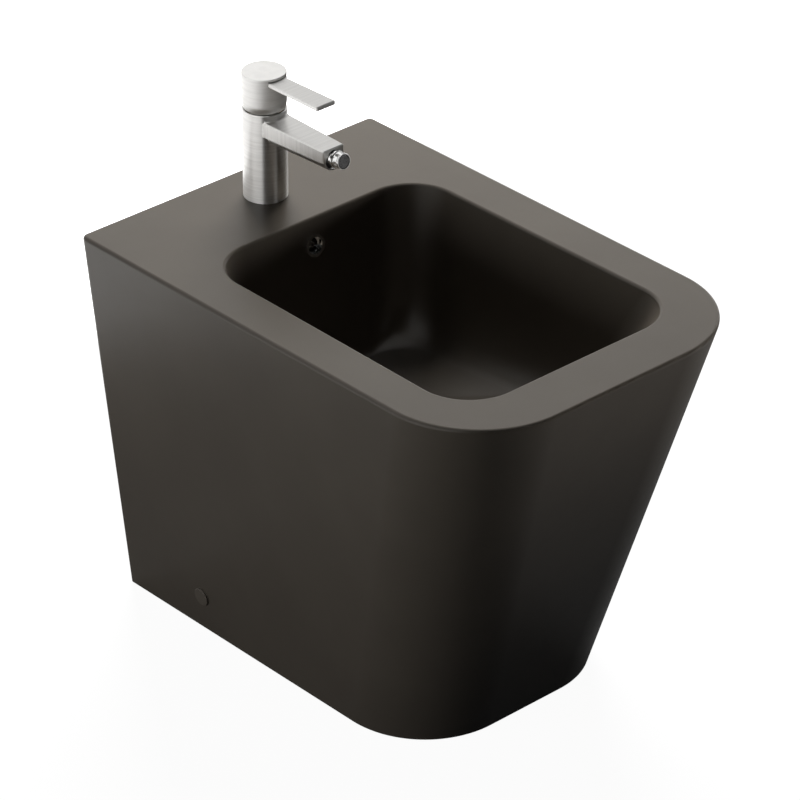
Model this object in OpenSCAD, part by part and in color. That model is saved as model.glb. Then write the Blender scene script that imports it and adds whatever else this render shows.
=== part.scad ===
// Floor standing bidet: one hollow china body, a single lever tap with a swivel aerator,
// a push waste with overflow, and the side fixings on floor brackets.
// Millimetres. The floor is z = 0, the wall side is +Y and the user sits facing -Y or +Y.
// The origin is the middle of the body's depth and width, on the floor.

/* [Body] */
// Width of the china at the rim
body_w = 360; // [340:1:380]
// Depth of the china at the rim
body_d = 530; // [510:1:560]
// Height of the rim above the floor
body_h = 400; // [385:1:420]
// Width of the foot on the floor
foot_w = 269; // [255:1:290]
// Depth of the foot on the floor
foot_d = 415; // [395:1:440]
// Corner radius of the front at the rim
rim_corner_r = 100; // [90:1:110]
// Corner radius of the front at the foot
foot_corner_r = 90; // [80:1:95]
// Corner radius where the sides meet the wall
back_corner_r = 4; // [3:0.5:8]
// Rounding of the outer rim edge
edge_r = 4; // [3:0.5:6]
// Bevel round the foot
foot_edge = 1.5; // [1:0.5:3]
// Thickness of the china
wall = 12; // [10:0.5:13]
// Thickness of the deck that carries the tap
deck_t = 14; // [12:0.5:16]

/* [Basin] */
// Width of the basin opening at its front
opening_w = 265.6; // [252:0.1:270]
// Width that each side of the opening loses towards the back
opening_taper = 2.8; // [0:0.1:4]
// Width of the deck behind the opening
deck_d = 119.3; // [115:0.5:125]
// Width of the rim in front of the opening
rim_front = 58.4; // [54:0.5:64]
// Corner radius at the back of the opening
opening_back_r = 48; // [42:1:54]
// Corner radius at the front of the opening
opening_front_r = 50; // [44:1:56]
// Rounding of the edge of the opening
lip_r = 3.5; // [3:0.5:4.5]
// Depth of the basin floor at its back corner line
basin_depth_back = 142; // [136:1:144]
// Depth of the basin floor at its front corner line
basin_depth_front = 119; // [112:1:126]
// Depth of the flat seat round the waste
seat_depth = 154; // [150:0.5:158]

/* [Outlet] */
// Distance from the wall face to the middle of the waste
drain_back = 230; // [224:1:236]
// Radius of the waste hole in the china
drain_hole_r = 22.75; // [22.5:0.05:23]
// Radius of the flat seat round the waste
seat_r = 34; // [33:0.5:36]
// Length of the china boss under the seat
drain_boss_h = 47; // [44:0.5:50]
// Depth of the overflow passage behind the basin
passage_d = 14; // [12:0.5:16]
// Width of the overflow passage
passage_w = 28; // [24:1:32]
// Thickness of the china round the overflow passage
passage_wall = 8; // [7:0.5:9]
// Height of the overflow hole below the rim
overflow_drop = 27; // [26:0.5:30]
// Radius of the overflow hole
overflow_r = 10; // [9.5:0.1:10.5]

/* [Back] */
// Width of the cut-out for pipes in the wall side
cutout_w = 210; // [190:1:216]
// Height of the cut-out for pipes
cutout_h = 330; // [310:1:340]
// Corner radius of the cut-out
cutout_r = 40; // [30:1:50]

/* [Fixings] */
// Distance from the wall face to the side fixings
fixing_back = 115; // [105:1:125]
// Height of the side fixings above the floor
fixing_z = 40; // [36:1:44]
// Radius of the side hole in the china
side_hole_r = 8; // [7.5:0.1:8.5]
// Radius of the cover cap
cap_r = 9.25; // [9:0.05:9.6]
// Thickness of the part of the cap that shows
cap_t = 1.4; // [1.2:0.1:2]
// Radius of the side screw
side_screw_r = 3; // [2.5:0.1:3.2]
// Length of the side screw under its head
side_screw_l = 33; // [30:1:36]
// Width of a floor bracket along the side
bracket_w = 40; // [36:1:44]
// Height of a floor bracket
bracket_h = 62; // [60:1:66]
// Depth of a bracket's upright block
bracket_block_d = 27; // [26:1:30]
// Length of a bracket's floor plate past its block
bracket_foot_d = 26; // [24:1:30]
// Thickness of a bracket's floor plate
bracket_foot_t = 5; // [4:0.5:6]
// Radius of the floor bolt hole
floor_hole_r = 4.25; // [4:0.05:4.5]

/* [Waste] */
// Radius of the threaded tail (G 1 1/4)
tail_r = 20.95; // [20.9:0.01:21]
// Inside radius of the tail
tail_bore_r = 18; // [17.5:0.1:18.5]
// Length of the tail below the flange
tail_l = 94; // [90:1:100]
// Length of thread that stays free under the lock nut for the trap
outlet_l = 20; // [18:0.5:21]
// Radius of the waste flange
flange_r = 31.5; // [31:0.1:32.5]
// Thickness of the waste flange
flange_t = 3; // [2.5:0.1:3.5]
// Thickness of the seal under the flange
upper_seal_t = 2; // [1.5:0.1:2.5]
// Radius of the plug cap
plug_r = 30.5; // [30:0.1:31]
// Thickness of the plug cap at its middle
plug_t = 5; // [4.5:0.1:6]
// Travel of the plug
plug_travel = 8; // [6:0.5:9]
// Radius of the plug spindle
spindle_r = 3; // [2.8:0.1:3.2]
// Radius of the push cartridge of the waste
click_r = 9; // [8.5:0.1:9.5]
// Length of the push cartridge of the waste
click_l = 36; // [34:1:38]

/* [Tap] */
// Distance from the wall face to the axis of the tap
tap_back = 54.2; // [52:0.1:56]
// Radius of the tap body and of the lever hub
tap_r = 21.2; // [20.8:0.1:21.6]
// Height of the tap body above the deck
tap_h = 91.7; // [90:0.1:94]
// Top of the lever hub above the deck
hub_top = 129; // [128:0.1:132]
// Gap between the tap body and the lever hub
hub_gap = 1.2; // [1:0.1:1.5]
// Rounding of the lever hub's top edge
hub_edge_r = 1.25; // [1:0.05:1.5]
// Reach of the spout from the tap axis
spout_reach = 96.8; // [94:0.1:100]
// Height of the spout's top face above the deck
spout_top = 85.3; // [84.8:0.1:86]
// Width of the spout at its tip
spout_tip_w = 25.5; // [24.6:0.1:26]
// Width of the spout at the tap body
spout_root_w = 29.6; // [28:0.1:30]
// Height of the spout's flat side at its tip
spout_tip_h = 12.3; // [12:0.1:13.5]
// Height of the spout's flat side at the tap body
spout_root_h = 14.7; // [14:0.1:16]
// Bevel of the spout's edges
spout_bevel = 1; // [0.8:0.05:1.2]
// Fillet between the spout's sides and the tap body
spout_fillet_r = 5.5; // [4:0.5:6]
// Fillet between the spout's top and the tap body
spout_rise_r = 3; // [2:0.25:3.5]
// Radius of the round water way under the spout at its tip
spout_tube_r = 11; // [10.8:0.1:11.2]
// Radius of the round water way at the tap axis
spout_tube_root_r = 12.8; // [12.4:0.1:13.2]
// Rise of the water way from the tap axis to its tip
spout_tube_rise = 1.7; // [1.2:0.1:2]
// Length of the lever from the tap axis
lever_reach = 87.2; // [84:0.1:92]
// Width of the lever in the hub
lever_w = 21; // [20:0.1:22]
// Width of the lever at its tip
lever_tip_w = 22.7; // [22:0.1:23.5]
// Upward set of the lever in degrees
lever_set = 1; // [0:0.25:2]
// Thickness of the lever
lever_t = 4.5; // [4:0.1:5]
// Largest lift of the lever in degrees
lever_lift = 20; // [16:1:20]
// Radius of the tap hole in the deck
tap_hole_r = 17.5; // [17:0.1:18]

/* [Aerator] */
// Radius of the swivel ball
ball_r = 7; // [6.8:0.05:7.1]
// Radius of the aerator housing
aerator_r = 7.9; // [7.6:0.1:8.2]
// Length of the aerator housing
aerator_l = 7.6; // [7:0.1:8.5]
// Upward tilt of the aerator as it is set in degrees
aerator_tilt = 9; // [0:1:10]

/* [Cartridge] */
// Radius of the cartridge
cartridge_r = 17.4; // [17.3:0.02:17.45]
// Height of the cartridge seat above the deck
cartridge_seat = 60; // [58:0.5:62]
// Height of the lever pivot above the deck
pivot_z = 100; // [99.5:0.1:100.5]
// Side of the square lever stem
stem_w = 8; // [7.6:0.1:8.2]
// Thickness of the ceramic discs
disc_t = 3.6; // [3.4:0.1:3.8]
// Radius of the moving disc
moving_disc_r = 9.5; // [9:0.1:9.8]

/* [Hidden] */
$fn = 64;
over = 1;                 // overrun of every cut past the face that it opens
run_gap = 0.06;           // running clearance of turning and sliding fits
fit_gap = 0.1;            // clearance round what is screwed or dropped in
seat_gap = 0.3;           // clearance of parts that move past each other
corner_steps = 10;
lip_steps = 3;
fillet_steps = 6;

// China body
half_d = body_d / 2;
ceiling_z = body_h - deck_t;
side_run = (body_w - foot_w) / 2;
side_h = body_h - edge_r;
side_lean = atan(side_run / side_h);
opening_y_back = half_d - deck_d;
opening_y_front = rim_front - half_d;
drain_y = half_d - drain_back;
seat_z = body_h - seat_depth;
lip_z = body_h - lip_r;
floor_z_back = body_h - basin_depth_back;
floor_z_front = body_h - basin_depth_front;
boss_z = seat_z - drain_boss_h;
wall_run_share = 0.32;
fillet_wall_share = 0.6;
fillet_floor_share = 0.32;
floor_mid_share = 0.66;
bowl_mid_share = 0.45;
seat_corner_share = 0.98;
inner_corner_r = back_corner_r + 2 * foot_edge;

// The slope of the basin's back wall, on which the overflow sits
wall_run_back = wall_run_share * (opening_y_back - drain_y - seat_r);
back_lean = atan(wall_run_back / (lip_z - floor_z_back));
overflow_z = body_h - overflow_drop;
overflow_y = opening_y_back - wall_run_back * (lip_z - overflow_z) / (lip_z - floor_z_back);

// Overflow passage
passage_front_y = opening_y_back + wall;
passage_low_y = opening_y_back - wall_run_back + wall;
passage_top_z = ceiling_z - run_gap - over;
passage_low_z = seat_z - wall - passage_d;

// Side fixings
fixing_x = foot_w / 2 + side_run * fixing_z / side_h;
fixing_y = half_d - fixing_back;
sleeve_r = side_hole_r - fit_gap * 2;
sleeve_flange_t = cap_t / 2 - fit_gap;
sleeve_flange_r = cap_r - fit_gap * 3;
screw_head_r = side_screw_r * 1.85;
screw_head_h = side_screw_r * 1.3;
head_room = screw_head_r + fit_gap * 5;
head_seat = wall * 0.7;
bracket_face_x = fixing_x - wall / cos(side_lean) - seat_gap;

// Waste
waste_flange_z = seat_z + upper_seal_t;
tail_low_z = waste_flange_z - tail_l;
gasket_h = tail_r * 0.38;
washer_t = upper_seal_t * 1.25;
waste_nut_h = tail_r * 0.55;
waste_nut_r = tail_r * 1.35;
gasket_z = boss_z - gasket_h;
washer_z = gasket_z - washer_t;
waste_nut_z = washer_z - waste_nut_h;
slot_top_z = seat_z - wall - over;
slot_h = passage_d - 2 * over;
slot_w = tail_bore_r * 0.75;
plug_seal_t = plug_t / 2;
plug_seal_z = waste_flange_z + flange_t + run_gap;
plug_z = plug_seal_z + plug_seal_t;
spider_t = click_r * 0.45;
spider_z = boss_z + spider_t;
spider_r = click_r * 0.62;
click_z = spider_z + spider_t;
click_wall = click_r * 0.22;
collar_t = click_wall;
spring_l = 14;
collar_z = click_z + click_wall + spring_l;
spindle_low_z = collar_z - spring_l * 0.6;
spring_wire_r = spindle_r * 0.22;
spring_turns = 6;
spring_steps = 10;
spring_sides = 6;
spring_low_z = click_z + click_wall + run_gap;
spring_high_z = collar_z - run_gap;

// Tap
tap_y = half_d - tap_back;
deck_z = body_h;
mouth_r = sqrt(tap_r * tap_r - pow(pivot_z - tap_h, 2)) + seat_gap;
mouth_depth = (pivot_z - tap_h) * 0.64;
nut_r = cartridge_r + fit_gap * 10;
nut_low_z = cartridge_seat + cartridge_r * 1.09;
nut_h = mouth_depth * 1.24;
nut_hole_r = cartridge_r * 0.782;
neck_r = nut_hole_r - fit_gap * 4;
hub_low = tap_h + hub_gap;
hub_bore_r = sqrt(tap_r * tap_r - pow(pivot_z - hub_low, 2)) - hub_gap * 2.3;
hub_ceiling = pivot_z + stem_w;
hub_arc_steps = 6;
lever_top = hub_top - hub_edge_r * 2.98;
lever_bevel = lever_t * 0.19;
lever_low = lever_top - lever_t;
lever_slot_gap = hub_edge_r * 0.88;
lever_root = stem_w * 0.6;
lever_hole_y = tap_r * 0.58;
lever_screw_r = lever_t * 0.45;
lever_screw_head_r = lever_screw_r * 1.8;
lever_screw_head_h = lever_screw_r * 1.2;
lever_screw_bite = lever_t * 0.7;
stem_top = lever_low - lever_slot_gap - hub_gap;
grub_r = stem_w * 0.31;
grub_l = (tap_r - stem_w / 2) * 0.8;
grub_z = (hub_ceiling + stem_top) / 2;
spout_steps = 6;
spout_root_share = 0.48;
spout_tube_z = spout_top - spout_tube_r - run_gap * 5;
waterway_r = spout_tube_r * 0.4;
inlet_r = 4.5;
inlet_x = tap_hole_r * 0.46;
inlet_y = -tap_hole_r * 0.29;
inlet_depth = 14;
inlet_way_r = inlet_r * 0.65;
stud_r = 4;
stud_y = tap_hole_r * 0.58;
stud_bite = inlet_depth;
stud_l = 72;
base_seal_w = 2;
base_seal_t = 2.2;
base_seal_r = tap_r - base_seal_w * 1.8;
clamp_r = tap_hole_r * 1.42;
clamp_t = 3;
clamp_slot_w = tap_hole_r * 1.5;
mount_nut_r = stud_r * 1.88;
mount_nut_h = stud_r * 2.5;

// Swivel and aerator, measured along its own axis from the middle of the ball
liner_t = 1;
ball_setback = 4.2;
liner_r = ball_r + run_gap + liner_t;
socket_r = liner_r + run_gap;
socket_out_r = spout_tube_r - liner_t * 1.2 - fit_gap;
socket_back = ball_r * 0.8;
socket_front = ball_setback + run_gap * 5;
socket_lip = liner_t * 0.4;
liner_back = ball_r / 2;
liner_front = ball_setback - liner_t * 2;
ball_bore_r = ball_r * 0.45;
ball_ring_r = aerator_r * 1.09;
ball_ring_t = 3.2;
ball_ring_back = ball_setback + ball_ring_t * 0.88;
ball_ring_front = ball_ring_back + ball_ring_t;
ball_ring_steps = 5;
ball_neck_r = ball_r * 0.69;
shoulder_r = aerator_r * 0.92;
housing_back = ball_ring_front + ball_ring_t * 0.35;
housing_front = housing_back + aerator_l;
neck_front = housing_back + aerator_l * 0.3;
insert_r = aerator_r * 0.87;
aerator_washer_t = 0.6;
insert_back = neck_front + aerator_washer_t + run_gap;
insert_front = housing_front - aerator_washer_t;
swivel_washer_t = 1.5;

// Cartridge
cart_base_t = 2.5;
fixed_disc_r = cartridge_r * 0.85;
fixed_disc_z = cartridge_seat + cart_base_t;
moving_disc_z = fixed_disc_z + disc_t + run_gap;
driver_z = moving_disc_z + disc_t;
driver_h = 5;
stem_ball_r = 3;
stem_ball_z = driver_z + stem_ball_r + run_gap * 6;
stem_arm = pivot_z - stem_ball_z;
disc_travel = stem_arm * sin(lever_lift);
housing_bore_r = fixed_disc_r + fit_gap * 2;
housing_top_t = 2;
housing_top_z = nut_low_z;
housing_neck_top = pivot_z - stem_w * 0.65;
carrier_r = neck_r * 0.835;
carrier_flange_r = carrier_r * 1.15;
carrier_flange_t = 2;
carrier_low = housing_top_z - housing_top_t - run_gap - carrier_flange_t;
carrier_top = pivot_z + stem_ball_r;
driver_w = moving_disc_r * 1.84;
leg_low = driver_z + run_gap * 10;
leg_d = moving_disc_r * 1.2;
pin_r = 1.5;
pin_l = carrier_r * 1.9;
lift_slope = tan(lever_lift);

// A section of the china is [half width, back y, front y, back radius, front radius, back z, front z,
// what each side loses towards the back].
function mix(a, b, t) = a + (b - a) * t;
function mix_section(p, q, t) = [for (i = [0:len(p) - 1]) mix(p[i], q[i], t)];
function bend(a, b, c, t) = mix(mix(a, b, t), mix(b, c, t), t);
function corner(cx, cy, r, start) = [
    for (k = [0:corner_steps])
        let (a = start + 90 * k / corner_steps) [cx + r * cos(a), cy + r * sin(a)]
];
function outline(p) = let (back = p[0] - p[7]) concat(
    corner(back - p[3], p[1] - p[3], p[3], 0),
    corner(p[3] - back, p[1] - p[3], p[3], 90),
    corner(p[4] - p[0], p[2] + p[4], p[4], 180),
    corner(p[0] - p[4], p[2] + p[4], p[4], 270)
);
function ring(p) = [
    for (q = outline(p)) [q[0], q[1], mix(p[5], p[6], (p[1] - q[1]) / (p[1] - p[2]))]
];

// The straight ruled outside of the china at height z, taken in by inset.
function shell_section(z, inset, back_r) =
    let (t = z / side_h)
    [
        mix(foot_w, body_w, t) / 2 - inset,
        half_d - inset,
        half_d - mix(foot_d, body_d, t) + inset,
        back_r,
        mix(foot_corner_r, rim_corner_r, t) - inset,
        z,
        z,
        0
    ];

// The opening, spread out by grow, at height z.
function opening_section(grow, z) = [
    opening_w / 2 + grow, opening_y_back + grow, opening_y_front - grow,
    opening_back_r + grow, opening_front_r + grow, z, z, opening_taper
];
function seat_section(grow, z) = [
    seat_r + grow, drain_y + seat_r + grow, drain_y - seat_r - grow,
    (seat_r + grow) * seat_corner_share, (seat_r + grow) * seat_corner_share, z, z, 0
];

// A point of the basin's profile: [share of the way in, z at the back, z at the front].
function wall_point(t) = [
    wall_run_share * t, mix(lip_z, floor_z_back, t), mix(lip_z, floor_z_front, t)
];
function floor_point(t) = [
    mix(wall_run_share, 1, t), mix(floor_z_back, seat_z, t), mix(floor_z_front, seat_z, t)
];
function fillet_point(t) =
    let (a = wall_point(fillet_wall_share), b = wall_point(1), c = floor_point(fillet_floor_share))
    [for (i = [0:2]) bend(a[i], b[i], c[i], t)];
function basin_section(point, grow, drop) =
    let (p = mix_section(opening_section(grow, 0), seat_section(grow, 0), point[0]))
    [p[0], p[1], p[2], p[3], p[4], point[1] - drop, point[2] - drop, p[7]];

china_sections = concat(
    [basin_section(floor_point(1), 0, 0), basin_section(floor_point(floor_mid_share), 0, 0)],
    [for (k = [fillet_steps:-1:0]) basin_section(fillet_point(k / fillet_steps), 0, 0)],
    [basin_section(wall_point(0), 0, 0)],
    [
        for (k = [1:lip_steps]) let (a = 90 * k / lip_steps)
            opening_section(lip_r * (1 - cos(a)), lip_z + lip_r * sin(a))
    ],
    [
        for (k = [0:lip_steps]) let (a = 90 * k / lip_steps)
            shell_section(body_h - edge_r * (1 - cos(a)), edge_r * (1 - sin(a)),
                back_corner_r + edge_r * sin(a) - edge_r * (1 - sin(a)) / 2)
    ],
    [
        shell_section(foot_edge, 0, back_corner_r),
        shell_section(0, foot_edge, back_corner_r),
        shell_section(0, wall, inner_corner_r),
        shell_section(ceiling_z, wall, inner_corner_r),
        opening_section(wall, ceiling_z),
        basin_section(wall_point(bowl_mid_share), wall, wall * bowl_mid_share / 2)
    ],
    [
        for (k = [0:2:fillet_steps])
            basin_section(fillet_point(k / fillet_steps), wall, wall * mix(bowl_mid_share, 1, k / fillet_steps))
    ],
    [basin_section(floor_point(1), wall, wall)]
);

module loft(sections) {
    skin([for (s = sections) ring(s)]);
}

// A closed skin over rings of points, the first ring facing the way that it runs round.
module skin(rings) {
    count = len(rings[0]);
    last = len(rings) - 1;
    polyhedron(
        points = [for (r = rings) each r],
        faces = concat(
            [[for (j = [count - 1:-1:0]) j]],
            [
                for (i = [0:last - 1], j = [0:count - 1])
                    let (a = i * count + j, b = i * count + (j + 1) % count)
                    each [[a, b, a + count], [b, b + count, a + count]]
            ],
            [[for (j = [0:count - 1]) last * count + j]]
        )
    );
}

module tube(outer_r, inner_r, z0, z1) {
    translate([0, 0, z0]) difference() {
        cylinder(r = outer_r, h = z1 - z0);
        translate([0, 0, -over]) cylinder(r = inner_r, h = z1 - z0 + 2 * over);
    }
}

module rod(r, z0, z1) {
    translate([0, 0, z0]) cylinder(r = r, h = z1 - z0);
}

module block(x, y0, y1, z0, z1) {
    translate([-x, y0, z0]) cube([2 * x, y1 - y0, z1 - z0]);
}

// Runs a profile drawn as (y, z) along X, to half width x on both sides.
module along_x(x) {
    rotate([90, 0, 90]) linear_extrude(height = 2 * x, center = true) children();
}

module at_drain() {
    translate([0, drain_y, 0]) children();
}

module at_tap() {
    translate([0, tap_y, deck_z]) children();
}

// Local +Z is the way out of the basin's back wall.
module at_overflow() {
    translate([0, overflow_y, overflow_z]) rotate([90 - back_lean, 0, 0]) children();
}

// Local +Z is the way out of the china's side, at each of the two side fixings.
module at_fixings() {
    for (side = [0, 1]) mirror([side, 0, 0])
        translate([fixing_x, fixing_y, fixing_z]) rotate([0, 90 + side_lean, 0]) children();
}

// Local +Z is the way out of the spout, from the middle of the ball.
module at_socket() {
    translate([0, ball_setback - spout_reach, spout_tube_z]) rotate([90, 0, 0]) children();
}

// The lever with its upward set, about its lower face at the tap's axis.
module at_lever() {
    translate([0, 0, lever_low]) rotate([-lever_set, 0, 0]) translate([0, 0, -lever_low]) children();
}

module at_ball() {
    at_tap() translate([0, ball_setback - spout_reach, spout_tube_z])
        rotate([90 - aerator_tilt, 0, 0]) children();
}

// The overflow passage and its china: a run down the back of the basin and in to the waste.
module passage_profile(grow) {
    front = passage_front_y + over;
    back_top = front + passage_d + grow;
    back_low = passage_low_y + over + passage_d + grow;
    high = passage_top_z + grow / 2;
    low = passage_low_z - grow;
    shelf = passage_low_z + passage_d - over + grow / 2;
    inset = grow * 0.75;
    reach = drain_y + drain_hole_r + grow / 2 - over * 6;
    polygon([
        [front - inset, high], [back_top, high], [back_low, low], [reach, low],
        [reach, shelf], [passage_low_y + over - inset, shelf]
    ]);
}

module cutout_profile() {
    x = cutout_w / 2 - cutout_r;
    z = cutout_h - cutout_r;
    translate([-cutout_w / 2, -over]) square([cutout_w, z + over]);
    translate([-x, 0]) square([2 * x, cutout_h]);
    for (side = [-1, 1]) translate([side * x, z]) circle(r = cutout_r);
}

module china_body() {
    color([0.25, 0.24, 0.22]) difference() {
        union() {
            loft(china_sections);
            along_x(passage_w / 2 + passage_wall) passage_profile(passage_wall);
            at_drain() rod(seat_r, boss_z, seat_z - wall / 2);
        }
        along_x(passage_w / 2) passage_profile(0);
        at_drain() rod(drain_hole_r, boss_z - over, seat_z + over);
        at_overflow() rod(overflow_r, -wall - passage_d / 2, wall);
        at_tap() rod(tap_hole_r, -deck_t - over, over);
        at_fixings() rod(side_hole_r, -wall * 2, wall);
        translate([0, half_d + over, 0]) rotate([90, 0, 0])
            linear_extrude(height = wall + 2 * over) cutout_profile();
    }
}

// Trim ring of the overflow, a thin flange on a short sleeve.
module overflow_ring() {
    color([0.8, 0.8, 0.8]) at_overflow() difference() {
        union() {
            rod(overflow_r - fit_gap, -wall * 0.7, 0);
            rod(overflow_r * 1.1, fit_gap, overflow_r * 0.13);
            rod(overflow_r - fit_gap, 0, overflow_r * 0.05);
        }
        rod(overflow_r * 0.84, -wall, wall);
    }
}

// Spring clip that holds the ring: a small hub on three legs inside the sleeve.
module overflow_clip() {
    leg = overflow_r * 0.84 - fit_gap;
    color([0.7, 0.7, 0.7]) at_overflow() difference() {
        union() {
            tube(leg, leg - over, -wall * 0.6, -wall * 0.4);
            for (a = [90, 210, 330]) rotate([0, 0, a])
                translate([0, -over, -wall * 0.6]) cube([leg - over / 2, 2 * over, wall * 0.2]);
            rod(overflow_r * 0.28, -wall * 0.6, -wall * 0.3);
        }
        rod(overflow_r * 0.12, -wall, wall);
    }
}

// Brass waste: flange, threaded tail, overflow slots and the cross that carries the push cartridge.
module waste_body() {
    lead = flange_t * 0.6;
    groove = flange_t * 0.27;
    outlet_top_z = tail_low_z + outlet_l;
    color([0.82, 0.82, 0.8]) at_drain() difference() {
        union() {
            rotate_extrude() polygon([
                [tail_bore_r, waste_flange_z], [flange_r - flange_t / 3, waste_flange_z],
                [flange_r, waste_flange_z + flange_t / 2],
                [flange_r - flange_t / 3, waste_flange_z + flange_t],
                [tail_bore_r + lead, waste_flange_z + flange_t],
                [tail_bore_r, waste_flange_z + flange_t - lead]
            ]);
            tube(tail_r, tail_bore_r, tail_low_z, waste_flange_z + flange_t / 3);
            rod(spider_r * 1.5, spider_z, spider_z + spider_t);
            for (a = [0, 120, 240]) rotate([0, 0, a + 90])
                translate([0, -spider_t / 2, spider_z])
                    cube([tail_bore_r + (tail_r - tail_bore_r) / 2, spider_t, spider_t]);
        }
        rod(spider_r + fit_gap, spider_z - over, spider_z + spider_t + over);
        tube(tail_r + over, tail_r - groove, outlet_top_z, outlet_top_z + flange_t * 2 / 3);
        for (a = [0, 90, 180, 270]) rotate([0, 0, a])
            translate([-slot_w / 2, 0, slot_top_z - slot_h]) cube([slot_w, tail_r + over, slot_h]);
    }
}

module waste_upper_seal() {
    color([0.12, 0.12, 0.12]) at_drain()
        tube(flange_r - flange_t / 2, tail_r + fit_gap * 2, seat_z, seat_z + upper_seal_t);
}

// Cone gasket that the nut draws up into the waste hole's lower edge.
module waste_lower_gasket() {
    top_r = drain_hole_r + gasket_h * 0.9;
    color([0.12, 0.12, 0.12]) at_drain() difference() {
        translate([0, 0, gasket_z]) cylinder(r1 = waste_nut_r, r2 = top_r, h = gasket_h);
        rod(tail_r + fit_gap, gasket_z - over, boss_z + over);
    }
}

module waste_washer() {
    color([0.9, 0.9, 0.88]) at_drain() tube(waste_nut_r, tail_r + fit_gap, washer_z, gasket_z);
}

module waste_nut() {
    wings = 8;
    color([0.78, 0.66, 0.4]) at_drain() difference() {
        union() {
            rod(waste_nut_r * 0.92, waste_nut_z, washer_z);
            rod(waste_nut_r, washer_z - waste_nut_h / 4, washer_z);
            for (k = [1:wings]) rotate([0, 0, 360 * k / wings])
                translate([0, -washer_t, waste_nut_z]) cube([waste_nut_r, washer_t * 2, waste_nut_h]);
        }
        rod(tail_r + fit_gap, waste_nut_z - over, washer_z + over);
    }
}

// Domed plug, down on its seat.
module plug_cap() {
    steps = 6;
    rise = plug_t * 0.7;
    color([0.82, 0.82, 0.8]) at_drain() difference() {
        rotate_extrude() polygon(concat(
            [[0, plug_z], [plug_r - rise / 3, plug_z], [plug_r, plug_z + plug_t - rise]],
            [
                for (k = [1:steps]) let (t = k / steps)
                    [plug_r * (1 - t), plug_z + plug_t - rise + rise * (1 - pow(1 - t, 2))]
            ]
        ));
        rod(spindle_r + fit_gap, plug_z - over, plug_z + plug_t / 2);
    }
}

module plug_seal() {
    color([0.12, 0.12, 0.12]) at_drain()
        tube(tail_bore_r + flange_t * 2.4, tail_bore_r + flange_t, plug_seal_z, plug_z);
}

// Spindle of the plug, with the collar that rides on the spring.
module plug_spindle() {
    color([0.75, 0.75, 0.75]) at_drain() {
        rod(spindle_r, spindle_low_z, plug_z + plug_t / 2 - fit_gap);
        rod(click_r - click_wall - run_gap * 3, collar_z, collar_z + collar_t);
        rod(spindle_r * 2, plug_z - plug_seal_t / 2, plug_z);
    }
}

// Push cartridge: a closed barrel on a threaded foot that screws into the cross.
module click_housing() {
    top = click_z + click_l;
    color([0.92, 0.92, 0.9]) at_drain() difference() {
        union() {
            rod(click_r, click_z, top);
            rod(spider_r, spider_z - spider_t / 2, click_z + fit_gap);
        }
        rod(click_r - click_wall, click_z + click_wall, top - click_wall);
        rod(spindle_r + run_gap, top - 2 * click_wall, top + over);
    }
}

module click_spring() {
    mean_r = (spindle_r + click_r - click_wall) / 2;
    count = spring_turns * spring_steps;
    low = spring_low_z + spring_wire_r;
    high = spring_high_z - spring_wire_r;
    points = [
        for (i = [0:count], j = [0:spring_sides - 1])
            let (
                a = 360 * i / spring_steps,
                b = 360 * j / spring_sides,
                r = mean_r + spring_wire_r * cos(b)
            )
            [r * cos(a), r * sin(a), mix(low, high, i / count) + spring_wire_r * sin(b)]
    ];
    faces = concat(
        [[for (j = [0:spring_sides - 1]) j]],
        [
            for (i = [0:count - 1], j = [0:spring_sides - 1])
                let (
                    a = i * spring_sides + j,
                    b = i * spring_sides + (j + 1) % spring_sides
                )
                each [[a, a + spring_sides, b], [b, a + spring_sides, b + spring_sides]]
        ],
        [[for (j = [spring_sides - 1:-1:0]) count * spring_sides + j]]
    );
    color([0.6, 0.6, 0.6]) at_drain() polyhedron(points, faces);
}

// Cover caps of the side fixings, with a spigot that clips into the sleeve.
module fixing_caps() {
    face = sleeve_flange_t + fit_gap;
    round_r = cap_t / 2;
    color([0.25, 0.24, 0.22]) at_fixings() difference() {
        union() {
            rotate_extrude() polygon(concat(
                [[0, face], [cap_r, face]],
                [
                    for (k = [0:3]) let (a = 30 * k)
                        [cap_r - round_r * (1 - cos(a)), face + cap_t - round_r * (1 - sin(a))]
                ],
                [[0, face + cap_t]]
            ));
            rod(head_room - fit_gap, -wall * 0.25, face + cap_t / 2);
        }
        rod(head_room - fit_gap - over, -wall, face);
    }
}

module fixing_sleeves() {
    color([0.85, 0.85, 0.83]) at_fixings() difference() {
        union() {
            rod(sleeve_r, -wall, sleeve_flange_t);
            rod(sleeve_flange_r, fit_gap, sleeve_flange_t);
        }
        rod(head_room, -head_seat, wall);
        rod(side_screw_r + fit_gap * 2, -wall - over, wall);
    }
}

module fixing_screws() {
    slot = side_screw_r * 0.4;
    color([0.75, 0.75, 0.72]) at_fixings() difference() {
        union() {
            rod(screw_head_r, -head_seat, screw_head_h - head_seat);
            rod(side_screw_r, -head_seat - side_screw_l, -head_seat + fit_gap);
        }
        translate([-screw_head_r, -slot / 2, screw_head_h - head_seat - slot])
            cube([2 * screw_head_r, slot, slot + over]);
        translate([-slot / 2, -screw_head_r, screw_head_h - head_seat - slot])
            cube([slot, 2 * screw_head_r, slot + over]);
    }
}

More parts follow.
